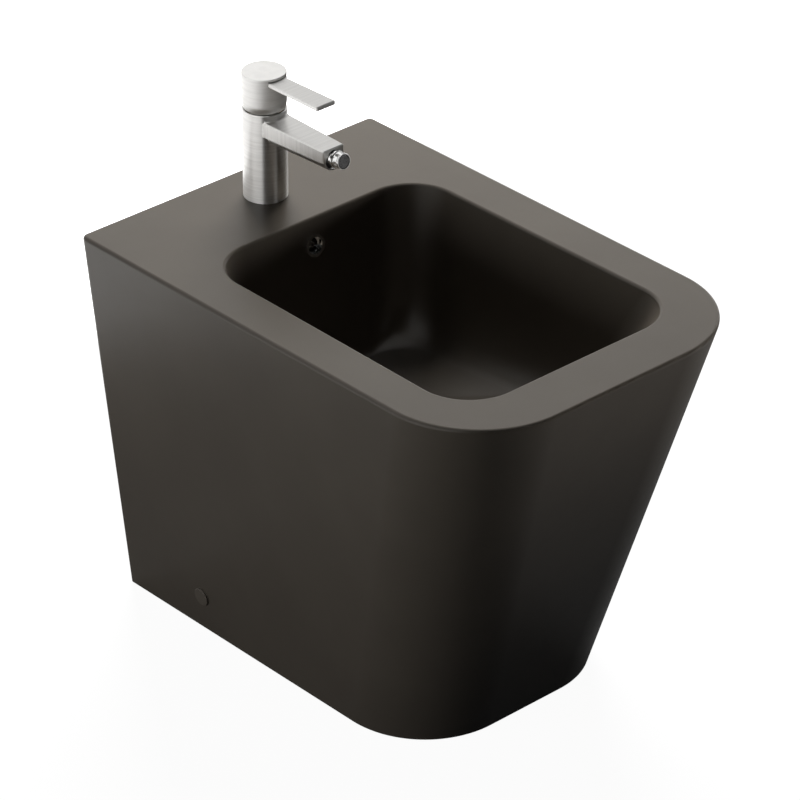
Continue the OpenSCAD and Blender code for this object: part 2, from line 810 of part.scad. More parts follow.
// Angle brackets on the floor inside the foot; the side screws bite into their blocks.
module floor_brackets() {
    lean_run = bracket_h * tan(side_lean);
    face = bracket_face_x - fixing_z * tan(side_lean);
    block_x = face - bracket_block_d;
    foot_x = block_x - bracket_foot_d;
    hole_x = (foot_x + block_x) / 2;
    web = bracket_foot_t * 0.8;
    color([0.88, 0.88, 0.86]) difference() {
        for (side = [0, 1]) mirror([side, 0, 0]) difference() {
            union() {
                translate([0, fixing_y + bracket_w / 2, 0]) rotate([90, 0, 0])
                    linear_extrude(height = bracket_w) polygon([
                        [block_x, 0], [face, 0], [face + lean_run, bracket_h], [block_x, bracket_h]
                    ]);
                translate([foot_x, fixing_y - bracket_w / 2, 0])
                    cube([bracket_foot_d + over, bracket_w, bracket_foot_t]);
                for (y = [fixing_y - bracket_w / 2, fixing_y + bracket_w / 2 - web])
                    translate([0, y + web, 0]) rotate([90, 0, 0]) linear_extrude(height = web)
                        polygon([[foot_x, 0], [block_x + over, 0], [block_x + over, bracket_h * 0.7]]);
            }
            translate([hole_x, fixing_y, 0]) rod(floor_hole_r, -over, bracket_foot_t + over);
        }
        at_fixings() rod(side_screw_r + fit_gap, -head_seat - side_screw_l - over, 0);
    }
}

// One side of the spout seen from above, taken in by inset: a fillet off the round body, the
// straight side and the bevelled corner of the tip.
function spout_side(inset) =
    let (
        x = spout_root_w / 2 + spout_fillet_r,
        reach = tap_r - run_gap + spout_fillet_r,
        y = sqrt(reach * reach - x * x),
        start = 180 - atan2(y, x),
        r = spout_fillet_r + inset,
        cut = spout_bevel + inset * tan(22.5)
    )
    concat(
        [[x, -y] * spout_root_share],
        [
            for (k = [0:spout_steps]) let (a = mix(start, 180, k / spout_steps))
                [x + r * cos(a), r * sin(a) - y]
        ],
        [
            [spout_tip_w / 2 - inset, cut - spout_reach],
            [spout_tip_w / 2 - cut, inset - spout_reach]
        ]
    );
function spout_plan(inset) =
    let (side = spout_side(inset))
    concat([for (q = side) [-q[0], q[1]]], [for (k = [len(side) - 1:-1:0]) side[k]]);
function spout_low(y) =
    spout_top - mix(spout_root_h, spout_tip_h, (-y - tap_r) / (spout_reach - tap_r));

// The spout: a tapered bar with bevelled edges over a round water way, filleted to the body.
module spout_shape() {
    rise_x = tap_r - run_gap + spout_rise_r;
    rise_z = spout_top - run_gap + spout_rise_r;
    lean = atan(spout_tube_rise / spout_reach);
    skin([
        [for (q = spout_plan(spout_bevel)) [q[0], q[1], spout_top]],
        [for (q = spout_plan(0)) [q[0], q[1], spout_top - spout_bevel]],
        [for (q = spout_plan(0)) [q[0], q[1], spout_low(q[1])]]
    ]);
    intersection() {
        skin([
            for (z = [rise_z + over, spout_top - over])
                [for (q = spout_plan(spout_bevel + fit_gap)) [q[0], q[1], z]]
        ]);
        rotate_extrude() polygon(concat(
            [[tap_r - 2 * over, rise_z], [tap_r - 2 * over, spout_top - over / 2], [rise_x, spout_top - over / 2]],
            [
                for (k = [0:spout_steps]) let (a = 270 - 90 * k / spout_steps)
                    [rise_x + spout_rise_r * cos(a), rise_z + spout_rise_r * sin(a)]
            ]
        ));
    }
    translate([0, 0, spout_tube_z - spout_tube_rise]) rotate([90 - lean, 0, 0]) cylinder(
        r1 = spout_tube_root_r,
        r2 = spout_tube_r,
        h = (spout_reach - 2 * spout_tube_r * sin(lean)) / cos(lean)
    );
}

module tap_body() {
    bevel = hub_gap / 2;
    socket_bore_r = socket_out_r + fit_gap;
    socket_depth = ball_setback + socket_back + swivel_washer_t + fit_gap;
    color([0.75, 0.74, 0.72]) at_tap() difference() {
        union() {
            rotate_extrude() polygon([
                [0, 0], [tap_r - bevel / 2, 0], [tap_r, bevel / 2], [tap_r, tap_h - bevel],
                [tap_r - bevel, tap_h], [0, tap_h]
            ]);
            spout_shape();
        }
        rod(mouth_r, tap_h - mouth_depth, tap_h + over);
        rod(nut_r + fit_gap, nut_low_z, tap_h);
        rod(cartridge_r + fit_gap, cartridge_seat, tap_h);
        translate([0, 0, spout_tube_z]) rotate([90, 0, 0])
            rod(waterway_r, cartridge_r * 0.7, spout_reach);
        translate([0, 0, spout_tube_z]) rotate([90, 0, 0])
            rod(socket_bore_r, spout_reach - socket_depth, spout_reach + over);
        for (side = [-1, 1]) translate([side * inlet_x, inlet_y, 0]) {
            rod(inlet_r, -over, inlet_depth);
            rod(inlet_way_r, 0, cartridge_seat + over);
        }
        translate([0, stud_y, 0]) rod(stud_r + fit_gap / 2, -over, stud_bite + over);
        tube(base_seal_r + base_seal_w / 2 + fit_gap, base_seal_r - base_seal_w / 2 - fit_gap,
            -over, base_seal_t + fit_gap);
    }
}

module tap_base_seal() {
    color([0.12, 0.12, 0.12]) at_tap()
        tube(base_seal_r + base_seal_w / 2, base_seal_r - base_seal_w / 2, 0, base_seal_t);
}

module mounting_stud() {
    color([0.78, 0.66, 0.4]) at_tap() translate([0, stud_y, 0]) rod(stud_r, -stud_l, stud_bite);
}

// Clamping piece under the deck, open to the front for the two hoses.
module horseshoe(t) {
    difference() {
        cylinder(r = clamp_r, h = t);
        translate([0, stud_y, -over]) cylinder(r = stud_r + fit_gap * 2, h = t + 2 * over);
        translate([-clamp_slot_w / 2, -clamp_r - over, -over])
            cube([clamp_slot_w, clamp_r + over + stud_y - stud_r - clamp_t * 0.6, t + 2 * over]);
    }
}

module clamp_gasket() {
    color([0.12, 0.12, 0.12]) at_tap() translate([0, 0, -deck_t - clamp_t]) horseshoe(clamp_t);
}

module clamp_plate() {
    color([0.7, 0.7, 0.7]) at_tap() translate([0, 0, -deck_t - 2 * clamp_t]) horseshoe(clamp_t);
}

module mounting_nut() {
    top = -deck_t - 2 * clamp_t;
    color([0.78, 0.66, 0.4]) at_tap() translate([0, stud_y, 0]) difference() {
        translate([0, 0, top - mount_nut_h]) cylinder(r = mount_nut_r, h = mount_nut_h, $fn = 6);
        rod(stud_r + fit_gap / 2, top - mount_nut_h - over, top + over);
    }
}

// Cartridge shell: barrel with a side window to the spout, top plate and bearing neck.
module cartridge_housing() {
    window_z = driver_z;
    window_h = housing_top_z - housing_top_t - window_z;
    color([0.93, 0.93, 0.9]) at_tap() difference() {
        union() {
            rod(cartridge_r, fixed_disc_z, housing_top_z);
            rod(neck_r, housing_top_z - over, housing_neck_top);
        }
        rod(housing_bore_r, fixed_disc_z - over, housing_top_z - housing_top_t);
        rod(carrier_r + run_gap, fixed_disc_z, housing_neck_top + over);
        translate([-waterway_r * 1.3, -cartridge_r - over, window_z])
            cube([waterway_r * 2.6, cartridge_r, window_h]);
    }
}

module cartridge_base() {
    color([0.3, 0.45, 0.6]) at_tap() difference() {
        rod(cartridge_r, cartridge_seat, fixed_disc_z);
        for (side = [-1, 1]) translate([side * inlet_x, inlet_y, 0])
            rod(inlet_way_r, cartridge_seat - over, fixed_disc_z + over);
    }
}

module fixed_disc() {
    color([0.95, 0.94, 0.9]) at_tap() difference() {
        rod(fixed_disc_r, fixed_disc_z, fixed_disc_z + disc_t);
        for (side = [-1, 1]) translate([side * inlet_x, inlet_y, 0])
            rod(inlet_way_r, fixed_disc_z - over, fixed_disc_z + disc_t + over);
    }
}

// Moving disc, set back of the middle while the tap is shut.
module moving_disc() {
    color([0.95, 0.94, 0.9]) at_tap() translate([0, disc_travel / 2, 0]) difference() {
        rod(moving_disc_r, moving_disc_z, driver_z);
        rod(moving_disc_r * 0.55, moving_disc_z - over, moving_disc_z + disc_t * 0.5);
    }
}

module disc_driver() {
    color([0.9, 0.9, 0.88]) at_tap() difference() {
        translate([0, disc_travel / 2, 0]) intersection() {
            rod(moving_disc_r, driver_z, driver_z + driver_h);
            block(driver_w / 2, -moving_disc_r, moving_disc_r, driver_z - over, driver_z + driver_h + over);
        }
        rod(stem_ball_r + run_gap * 3, stem_ball_z - stem_ball_r - run_gap * 3, driver_z + driver_h + over);
    }
}

// Carrier that turns with the lever; its slot lets the stem tilt, its legs turn the discs.
module cartridge_carrier() {
    slot_x = stem_w / 2 + fit_gap;
    slot_y = stem_w / 2 + seat_gap;
    low = stem_arm + stem_ball_r;
    high = carrier_top - pivot_z + over;
    leg_x = driver_w / 2 + fit_gap * 2;
    color([0.2, 0.2, 0.22]) at_tap() difference() {
        union() {
            rod(carrier_r, carrier_low, pivot_z);
            translate([0, 0, pivot_z])
                cylinder(r1 = carrier_r, r2 = carrier_r * 0.8, h = carrier_top - pivot_z);
            rod(carrier_flange_r, carrier_low, carrier_low + carrier_flange_t);
            difference() {
                rod(carrier_flange_r, leg_low, carrier_low + over);
                block(leg_x, -carrier_flange_r, carrier_flange_r, leg_low - over, carrier_low + 2 * over);
                for (side = [-1, 1]) translate([0, side * (leg_d / 2 + carrier_flange_r), 0])
                    block(2 * carrier_flange_r, -carrier_flange_r, carrier_flange_r,
                        leg_low - over, carrier_low + 2 * over);
            }
        }
        translate([0, 0, pivot_z]) along_x(slot_x) polygon([
            [-slot_y, high], [slot_y + high * lift_slope, high], [slot_y, 0],
            [slot_y, -low], [-slot_y - low * lift_slope, -low], [-slot_y, 0]
        ]);
        translate([-pin_l, 0, pivot_z]) rotate([0, 90, 0])
            cylinder(r = pin_r + run_gap / 2, h = 2 * pin_l);
    }
}

module pivot_pin() {
    color([0.7, 0.7, 0.7]) at_tap() translate([-pin_l / 2, 0, pivot_z]) rotate([0, 90, 0])
        cylinder(r = pin_r, h = pin_l);
}

module cartridge_nut() {
    notch = nut_h * 0.4;
    color([0.78, 0.66, 0.4]) at_tap() difference() {
        rod(nut_r, nut_low_z, nut_low_z + nut_h);
        rod(nut_hole_r, nut_low_z - over, nut_low_z + nut_h + over);
        for (a = [45, 135, 225, 315]) rotate([0, 0, a])
            translate([nut_hole_r + (nut_r - nut_hole_r) / 2, -notch / 2, nut_low_z + nut_h - notch])
                cube([nut_r, notch, notch + over]);
    }
}

// Square stem of the cartridge, with the pin hole and the ball end that pushes the discs.
module lever_stem() {
    waist = pivot_z - stem_w / 2;
    color([0.75, 0.75, 0.75]) at_tap() difference() {
        union() {
            block(stem_w / 2, -stem_w / 2, stem_w / 2, waist, stem_top - fit_gap * 2);
            rod(stem_ball_r * 0.8, stem_ball_z, waist + over);
            translate([0, 0, stem_ball_z]) sphere(r = stem_ball_r);
        }
        translate([-stem_w, 0, pivot_z]) rotate([0, 90, 0])
            cylinder(r = pin_r + run_gap, h = 2 * stem_w);
    }
}

// Lever hub: a turned cap whose lower end is a ball zone round the pivot, so that it can
// tip into the mouth of the body, with a pocket for the lever.
module lever_hub() {
    socket = stem_w / 2 + fit_gap / 2;
    drop = pivot_z - hub_low;
    color([0.75, 0.74, 0.72]) at_tap() difference() {
        rotate_extrude() polygon(concat(
            [[0, hub_ceiling], [hub_bore_r, hub_ceiling], [hub_bore_r, hub_low]],
            [
                for (k = [0:hub_arc_steps]) let (a = asin(drop / tap_r) * (k / hub_arc_steps - 1))
                    [tap_r * cos(a), pivot_z + tap_r * sin(a)]
            ],
            [
                for (k = [0:3]) let (a = 30 * k)
                    [tap_r - hub_edge_r * (1 - cos(a)), hub_top - hub_edge_r * (1 - sin(a))]
            ],
            [[0, hub_top]]
        ));
        block(socket, -socket, socket, hub_ceiling - over, stem_top);
        translate([0, 0, grub_z]) rotate([-90, 0, 0]) rod(grub_r + fit_gap / 2, 0, tap_r + over);
        at_lever() block(lever_w / 2 + fit_gap / 2, -tap_r - over, lever_root + fit_gap,
            lever_low - fit_gap, lever_top + lever_slot_gap);
        at_lever() translate([0, -lever_hole_y, 0]) {
            rod(lever_screw_r + fit_gap, hub_ceiling - over, lever_low);
            rod(lever_screw_head_r + fit_gap * 2, hub_ceiling - over,
                hub_ceiling + lever_screw_head_h + fit_gap);
        }
    }
}

// The lever's section at y, of half width w, taken in by inset; all its edges are bevelled.
function lever_section(y, w, inset) =
    let (
        x = w - inset,
        c = lever_bevel - inset * (1 - tan(22.5)),
        low = lever_low + inset,
        high = lever_top - inset
    )
    [
        [-x + c, y, low], [x - c, y, low], [x, y, low + c], [x, y, high - c],
        [x - c, y, high], [-x + c, y, high], [-x, y, high - c], [-x, y, low + c]
    ];

module lever_bar() {
    color([0.75, 0.74, 0.72]) at_tap() at_lever() difference() {
        skin([
            lever_section(-lever_reach, lever_tip_w / 2, lever_bevel),
            lever_section(lever_bevel - lever_reach, lever_tip_w / 2, 0),
            lever_section(-tap_r, lever_w / 2, 0),
            lever_section(lever_root, lever_w / 2, 0)
        ]);
        translate([0, -lever_hole_y, 0])
            rod(lever_screw_r + fit_gap / 2, lever_low - over, lever_low + lever_screw_bite + fit_gap);
    }
}

module lever_screw() {
    seat = hub_ceiling + lever_screw_head_h + fit_gap;
    color([0.7, 0.7, 0.7]) at_tap() at_lever() translate([0, -lever_hole_y, 0]) difference() {
        union() {
            rod(lever_screw_head_r, seat - lever_screw_head_h, seat);
            rod(lever_screw_r, seat - fit_gap, lever_low + lever_screw_bite);
        }
        translate([0, 0, seat - lever_screw_head_h - over])
            cylinder(r = lever_screw_r * 0.8, h = over + lever_screw_head_h / 2, $fn = 6);
    }
}

module grub_screw() {
    start = stem_w / 2;
    color([0.3, 0.3, 0.3]) at_tap() translate([0, 0, grub_z]) rotate([-90, 0, 0]) difference() {
        rod(grub_r, start, start + grub_l);
        translate([0, 0, start + grub_l * 0.6]) cylinder(r = grub_r * 0.6, h = grub_l, $fn = 6);
    }
}

// Ring nut in the end of the spout; its round inside holds the liner and the ball.
module swivel_socket() {
    color([0.75, 0.74, 0.72]) at_tap() at_socket() difference() {
        rod(socket_out_r, -socket_back, socket_front);
        sphere(r = socket_r);
        rod(socket_r * 0.86, -socket_back - over, 0);
        translate([0, 0, liner_front]) cylinder(
            r1 = sqrt(socket_r * socket_r - liner_front * liner_front),
            r2 = socket_out_r - socket_lip,
            h = socket_front - liner_front
        );
        rod(socket_out_r - socket_lip, socket_front, socket_front + over);
    }
}

module swivel_washer() {
    low = -socket_back - swivel_washer_t;
    color([0.12, 0.12, 0.12]) at_tap() at_socket()
        tube(socket_out_r - fit_gap, waterway_r + fit_gap, low, -socket_back);
}

// Thin plastic liner between the socket and the ball.
module swivel_liner() {
    color([0.9, 0.9, 0.9]) at_ball() difference() {
        intersection() {
            sphere(r = liner_r);
            rod(liner_r + over, -liner_back, liner_front);
        }
        sphere(r = ball_r + run_gap);
    }
}

module swivel_ball() {
    color([0.8, 0.8, 0.8]) at_ball() difference() {
        union() {
            intersection() {
                sphere(r = ball_r);
                rod(ball_r + over, -ball_r * 0.75, ball_r);
            }
            rotate_extrude() polygon(concat(
                [[0, ball_ring_back]],
                [
                    for (k = [0:ball_ring_steps]) let (a = 90 * k / ball_ring_steps)
                        [mix(ball_neck_r, ball_ring_r, sin(a)), ball_ring_back + ball_ring_t * 0.6 * (1 - cos(a))]
                ],
                [
                    [ball_ring_r, ball_ring_front - fit_gap * 3], [ball_ring_r - fit_gap * 3, ball_ring_front],
                    [shoulder_r, ball_ring_front], [shoulder_r, housing_back], [0, housing_back]
                ]
            ));
            rod(ball_neck_r, 0, neck_front);
        }
        rod(ball_bore_r, -ball_r - over, neck_front + over);
    }
}

module aerator_housing() {
    bevel = aerator_washer_t / 2;
    groove_z = mix(housing_back, housing_front, 0.74);
    flat_z = mix(housing_back, housing_front, 0.2);
    flat_w = aerator_r * 0.42;
    flats = 6;
    color([0.8, 0.8, 0.8]) at_ball() difference() {
        rotate_extrude() polygon([
            [0, housing_back], [aerator_r - bevel, housing_back], [aerator_r, housing_back + bevel],
            [aerator_r, groove_z], [aerator_r - bevel, groove_z + bevel],
            [aerator_r, groove_z + 2 * bevel],
            [aerator_r, housing_front - bevel], [aerator_r - bevel, housing_front], [0, housing_front]
        ]);
        rod(ball_neck_r + fit_gap / 2, housing_back - over, housing_front);
        rod(insert_r + fit_gap / 2, neck_front, housing_front + over);
        for (k = [1:flats]) rotate([0, 0, 360 * k / flats])
            translate([aerator_r - bevel * 1.5, -flat_w / 2, flat_z])
                cube([aerator_r, flat_w, groove_z - flat_z - bevel]);
    }
}

module aerator_washer() {
    color([0.12, 0.12, 0.12]) at_ball() tube(insert_r, ball_bore_r, neck_front, neck_front + aerator_washer_t);
}

// Aerator insert: a rim, a cross and fine rings that break up the jet.
module aerator_insert() {
    color([0.2, 0.2, 0.2]) at_ball() {
        tube(insert_r, insert_r * 0.86, insert_back, insert_front);
        for (s = [0.28, 0.57]) tube(insert_r * (s + 0.07), insert_r * (s - 0.02), insert_back, insert_front - run_gap);
        for (a = [0, 60, 120]) rotate([0, 0, a])
            translate([-insert_r * 0.9, -insert_r * 0.05, insert_back])
                cube([insert_r * 1.8, insert_r * 0.1, insert_front - insert_back - run_gap * 2]);
    }
}

china_body();
overflow_ring();
overflow_clip();
waste_body();
waste_upper_seal();
waste_lower_gasket();
waste_washer();
waste_nut();
plug_cap();
plug_seal();
plug_spindle();
click_housing();
click_spring();
fixing_caps();
fixing_sleeves();
fixing_screws();
floor_brackets();
tap_body();
tap_base_seal();
mounting_stud();
clamp_gasket();
clamp_plate();
mounting_nut();
cartridge_housing();
cartridge_base();
fixed_disc();
moving_disc();
disc_driver();
cartridge_carrier();
pivot_pin();
cartridge_nut();
lever_stem();
lever_hub();
lever_bar();
lever_screw();
grub_screw();
swivel_socket();
swivel_washer();
swivel_liner();
swivel_ball();
aerator_housing();
aerator_washer();
aerator_insert();
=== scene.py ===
import math

import bmesh
import bpy
from mathutils import Matrix, Vector


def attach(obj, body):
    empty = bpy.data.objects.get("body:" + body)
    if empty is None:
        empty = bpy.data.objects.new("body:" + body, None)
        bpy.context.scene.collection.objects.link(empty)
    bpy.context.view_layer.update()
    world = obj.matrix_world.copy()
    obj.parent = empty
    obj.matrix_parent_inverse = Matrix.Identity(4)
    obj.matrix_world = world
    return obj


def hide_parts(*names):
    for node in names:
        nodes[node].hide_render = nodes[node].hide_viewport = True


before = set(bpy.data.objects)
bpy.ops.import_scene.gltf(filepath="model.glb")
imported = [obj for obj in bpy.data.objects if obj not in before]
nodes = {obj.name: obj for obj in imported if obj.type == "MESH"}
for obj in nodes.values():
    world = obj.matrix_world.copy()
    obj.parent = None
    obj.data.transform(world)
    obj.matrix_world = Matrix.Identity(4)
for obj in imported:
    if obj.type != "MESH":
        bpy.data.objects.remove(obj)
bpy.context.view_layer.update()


# The china body is one hollow casting of fireclay with a matt, nearly black warm glaze on
# all that shows. The inside of the foot stays bare clay, with an edge of overspray. Its
# skin is one loft: waste seat, basin, lip, deck, rim edge, ruled outside, foot, hollow.
rim_width, rim_depth, rim_height = 0.360, 0.530, 0.400
foot_width, foot_depth = 0.269, 0.415
rim_corner, foot_corner, wall_corner = 0.100, 0.090, 0.004
rim_edge, foot_bevel, lip_round = 0.004, 0.0015, 0.0035
china_thickness, deck_thickness = 0.012, 0.014
opening_half, opening_taper = 0.1328, 0.0028
opening_from_wall, opening_from_front = 0.1193, 0.0584
opening_back_corner, opening_front_corner = 0.048, 0.050
floor_back_down, floor_front_down, seat_down = 0.142, 0.119, 0.154
seat_radius, seat_roundness = 0.034, 0.98
drain_from_wall, tap_from_wall = 0.230, 0.0542
# The basin's wall takes wall_run of the way from the opening to the seat. The round at its
# foot starts at fillet_from of the wall and ends at fillet_to of the floor.
wall_run, fillet_from, fillet_to = 0.32, 0.60, 0.32
floor_shares, wall_shares, bowl_mid = (1.0, 0.83, 0.66, 0.49), (0.4, 0.2, 0.0), 0.45
corner_steps, fillet_steps, lip_steps, side_steps = 28, 20, 8, 10
GLAZED, BARE = 0, 1

half_depth = rim_depth / 2
side_height, lip_z = rim_height - rim_edge, rim_height - lip_round
ceiling = rim_height - deck_thickness
opening_back = half_depth - opening_from_wall
opening_front = opening_from_front - half_depth
floor_back, floor_front = rim_height - floor_back_down, rim_height - floor_front_down
seat_height = rim_height - seat_down
drain_y, tap_y = half_depth - drain_from_wall, half_depth - tap_from_wall


def mix(a, b, t):
    return a + (b - a) * t


def mix_rows(a, b, t):
    return [mix(p, q, t) for p, q in zip(a, b)]


def bend(a, b, c, t):
    """A point on the round from a to c whose corner is b."""
    return mix_rows(mix_rows(a, b, t), mix_rows(b, c, t), t)


def rounded_ring(row, steps):
    """A rounded rectangle of points, which may narrow and slope towards the back."""
    half, back, front, back_r, front_r, z_back, z_front, taper = row
    half_back = half - taper
    corners = (
        (half_back - back_r, back - back_r, back_r, 0),
        (back_r - half_back, back - back_r, back_r, 90),
        (front_r - half, front + front_r, front_r, 180),
        (half - front_r, front + front_r, front_r, 270),
    )
    ring = []
    for cx, cy, radius, start in corners:
        for k in range(steps + 1):
            angle = math.radians(start + 90 * k / steps)
            y = cy + radius * math.sin(angle)
            z = mix(z_back, z_front, (back - y) / (back - front))
            ring.append(Vector((cx + radius * math.cos(angle), y, z)))
    return ring


def outside_row(z, inset, back_r):
    """The outside at one height, or the hollow's side where inset is the wall."""
    t = z / side_height
    return [
        mix(foot_width, rim_width, t) / 2 - inset,
        half_depth - inset,
        half_depth - mix(foot_depth, rim_depth, t) + inset,
        back_r,
        mix(foot_corner, rim_corner, t) - inset,
        z,
        z,
        0,
    ]


def opening_row(grow, z):
    return [
        opening_half + grow, opening_back + grow, opening_front - grow,
        opening_back_corner + grow, opening_front_corner + grow, z, z, opening_taper,
    ]


def basin_row(point, grow, drop):
    """A ring of the basin, part of the way from the opening to the round seat."""
    share, z_back, z_front = point
    radius = seat_radius + grow
    corner = radius * seat_roundness
    seat = [radius, drain_y + radius, drain_y - radius, corner, corner]
    row = mix_rows(opening_row(grow, 0)[:5], seat, share)
    return row + [z_back - drop, z_front - drop, opening_taper * (1 - share)]


def wall_point(t):
    return [wall_run * t, mix(lip_z, floor_back, t), mix(lip_z, floor_front, t)]


def floor_point(t):
    z_back, z_front = mix(floor_back, seat_height, t), mix(floor_front, seat_height, t)
    return [mix(wall_run, 1, t), z_back, z_front]


def fillet_point(t):
    return bend(wall_point(fillet_from), wall_point(1), floor_point(fillet_to), t)


def quarter_turn(steps, first=0):
    """The sine and cosine at even steps through a right angle."""
    angles = [math.pi / 2 * k / steps for k in range(first, steps + 1)]
    return [(math.sin(angle), math.cos(angle)) for angle in angles]


def basin_skin():
    """From the seat of the waste outwards and up to the deck."""
    rows = [basin_row(floor_point(share), 0, 0) for share in floor_shares]
    for k in range(fillet_steps, -1, -1):
        rows.append(basin_row(fillet_point(k / fillet_steps), 0, 0))
    rows += [basin_row(wall_point(share), 0, 0) for share in wall_shares]
    for sine, cosine in quarter_turn(lip_steps, first=1):
        rows.append(opening_row(lip_round * (1 - cosine), lip_z + lip_round * sine))
    return rows


def outside_skin():
    """From the deck over the rim's edge and down the ruled side to the foot's bevel."""
    rows = []
    for sine, cosine in quarter_turn(lip_steps):
        inset = rim_edge * (1 - sine)
        back_r = wall_corner + rim_edge * sine - inset / 2
        rows.append(outside_row(rim_height - rim_edge * (1 - cosine), inset, back_r))
    for k in range(1, side_steps + 1):
        t = k / side_steps
        back_r = mix(wall_corner + rim_edge, wall_corner, t)
        rows.append(outside_row(mix(side_height, foot_bevel, t), 0, back_r))
    return rows + [outside_row(0, foot_bevel, wall_corner)]


def hollow_skin():
    """The bare inside: up the foot, across under the deck and down round the bowl."""
    wall, inner_corner = china_thickness, wall_corner + 2 * foot_bevel
    rows = [outside_row(z, wall, inner_corner) for z in (0, ceiling)]
    rows.append(opening_row(wall, ceiling))
    rows.append(basin_row(wall_point(bowl_mid), wall, wall * bowl_mid / 2))
    for k in range(0, fillet_steps + 1, 2):
        t = k / fillet_steps
        rows.append(basin_row(fillet_point(t), wall, wall * mix(bowl_mid, 1, t)))
    return rows + [basin_row(floor_point(1), wall, wall)]


def new_object(name, bm):
    """A new object of that name from a bmesh, at the origin."""
    mesh = bpy.data.meshes.new(name)
    bm.to_mesh(mesh)
    bm.free()
    piece = bpy.data.objects.new(name, mesh)
    bpy.context.scene.collection.objects.link(piece)
    return piece


def loft(name, rows, steps):
    """A closed skin through rings, each row with the finish of the band that ends there."""
    bm = bmesh.new()
    rings = [[bm.verts.new(p) for p in rounded_ring(row, steps)] for row, _ in rows]
    bm.faces.new(list(reversed(rings[0]))).material_index = rows[0][1]
    for (ring_a, ring_b), (_, finish) in zip(zip(rings, rings[1:]), rows[1:]):
        count = len(ring_a)
        for j in range(count):
            k = (j + 1) % count
            face = bm.faces.new((ring_a[j], ring_a[k], ring_b[k], ring_b[j]))
            face.material_index = finish
    bm.faces.new(rings[-1]).material_index = rows[-1][1]
    bmesh.ops.remove_doubles(bm, verts=bm.verts, dist=1e-7)
    return new_object(name, bm)


def round_bar(name, radius, start, end, finish=GLAZED, sides=96):
    """A closed round bar from start to end, for a boss or as a drill."""
    bm = bmesh.new()
    length = (end - start).length
    bmesh.ops.create_cone(
        bm, cap_ends=True, segments=sides, radius1=radius, radius2=radius, depth=length
    )
    turn = (end - start).to_track_quat("Z", "Y").to_matrix().to_4x4()
    bm.transform(Matrix.Translation((start + end) / 2) @ turn)
    for face in bm.faces:
        face.material_index = finish
    return new_object(name, bm)


def plate_from(name, points, axis, low, high, finish=GLAZED):
    """A closed plate: an outline of (y, z) or (x, z) pairs, run along x or y."""
    bm = bmesh.new()

    def place(pair, at):
        return (at, pair[0], pair[1]) if axis == "x" else (pair[0], at, pair[1])

    near = [bm.verts.new(place(p, low)) for p in points]
    far = [bm.verts.new(place(p, high)) for p in points]
    bm.faces.new(near)
    bm.faces.new(list(reversed(far)))
    for j in range(len(points)):
        k = (j + 1) % len(points)
        bm.faces.new((near[k], near[j], far[j], far[k]))
    bmesh.ops.recalc_face_normals(bm, faces=bm.faces)
    for face in bm.faces:
        face.material_index = finish
    return new_object(name, bm)


# The overflow passage runs down behind the basin and under it to the waste, in a duct.
clear = 0.001
passage_half, passage_deep, passage_under_deck, passage_stop = 0.014, 0.014, 0.00106, 0.006
duct_half, duct_cover, duct_front_share = 0.022, 0.008, 0.75
waste_hole, tap_hole, overflow_hole, cap_hole = 0.02275, 0.0175, 0.010, 0.008
back_lean_run = wall_run * (opening_back - drain_y - seat_radius)
passage_top = ceiling - passage_under_deck
passage_front = opening_back + china_thickness + clear
passage_low_front = opening_back - back_lean_run + china_thickness + clear
passage_floor = seat_height - china_thickness - passage_deep


def passage_outline(grow):
    """The passage from the side, or the duct round it where grow is the duct's cover."""
    forward, rise = grow * duct_front_share, grow / 2
    shelf = passage_floor + passage_deep - clear + rise
    reach = drain_y + waste_hole + rise - passage_stop
    return [
        (passage_front - forward, passage_top + rise),
        (passage_front + passage_deep + grow, passage_top + rise),
        (passage_low_front + passage_deep + grow, passage_floor - grow),
        (reach, passage_floor - grow),
        (reach, shelf),
        (passage_low_front - forward, shelf),
    ]


# The back of the foot is open for the pipes, and the opening has two round corners.
pipe_gap_half, pipe_gap_top, pipe_gap_round, pipe_gap_steps = 0.105, 0.330, 0.040, 12
pipe_gap_outline = [(-pipe_gap_half, -clear), (pipe_gap_half, -clear)]
for side, start in ((1, 0), (-1, 90)):
    for k in range(pipe_gap_steps + 1):
        angle = math.radians(start + 90 * k / pipe_gap_steps)
        pipe_gap_outline.append((
            side * (pipe_gap_half - pipe_gap_round) + pipe_gap_round * math.cos(angle),
            pipe_gap_top - pipe_gap_round + pipe_gap_round * math.sin(angle),
        ))

overflow_down, fixing_z, fixing_from_wall, boss_length = 0.027, 0.040, 0.115, 0.047
overflow_drill_in, fixing_drill_in, drill_out = 0.019, 0.024, 0.012
wall_drop = lip_z - floor_back
overflow_z = rim_height - overflow_down
overflow_y = opening_back - back_lean_run * (lip_z - overflow_z) / wall_drop
overflow_lean = math.atan(back_lean_run / wall_drop)
overflow_at = Vector((0, overflow_y, overflow_z))
overflow_out = Vector((0, -math.cos(overflow_lean), math.sin(overflow_lean)))
side_overhang = (rim_width - foot_width) / 2
side_lean = math.atan(side_overhang / side_height)
fixing_x = foot_width / 2 + side_overhang * fixing_z / side_height
boss_low = seat_height - boss_length

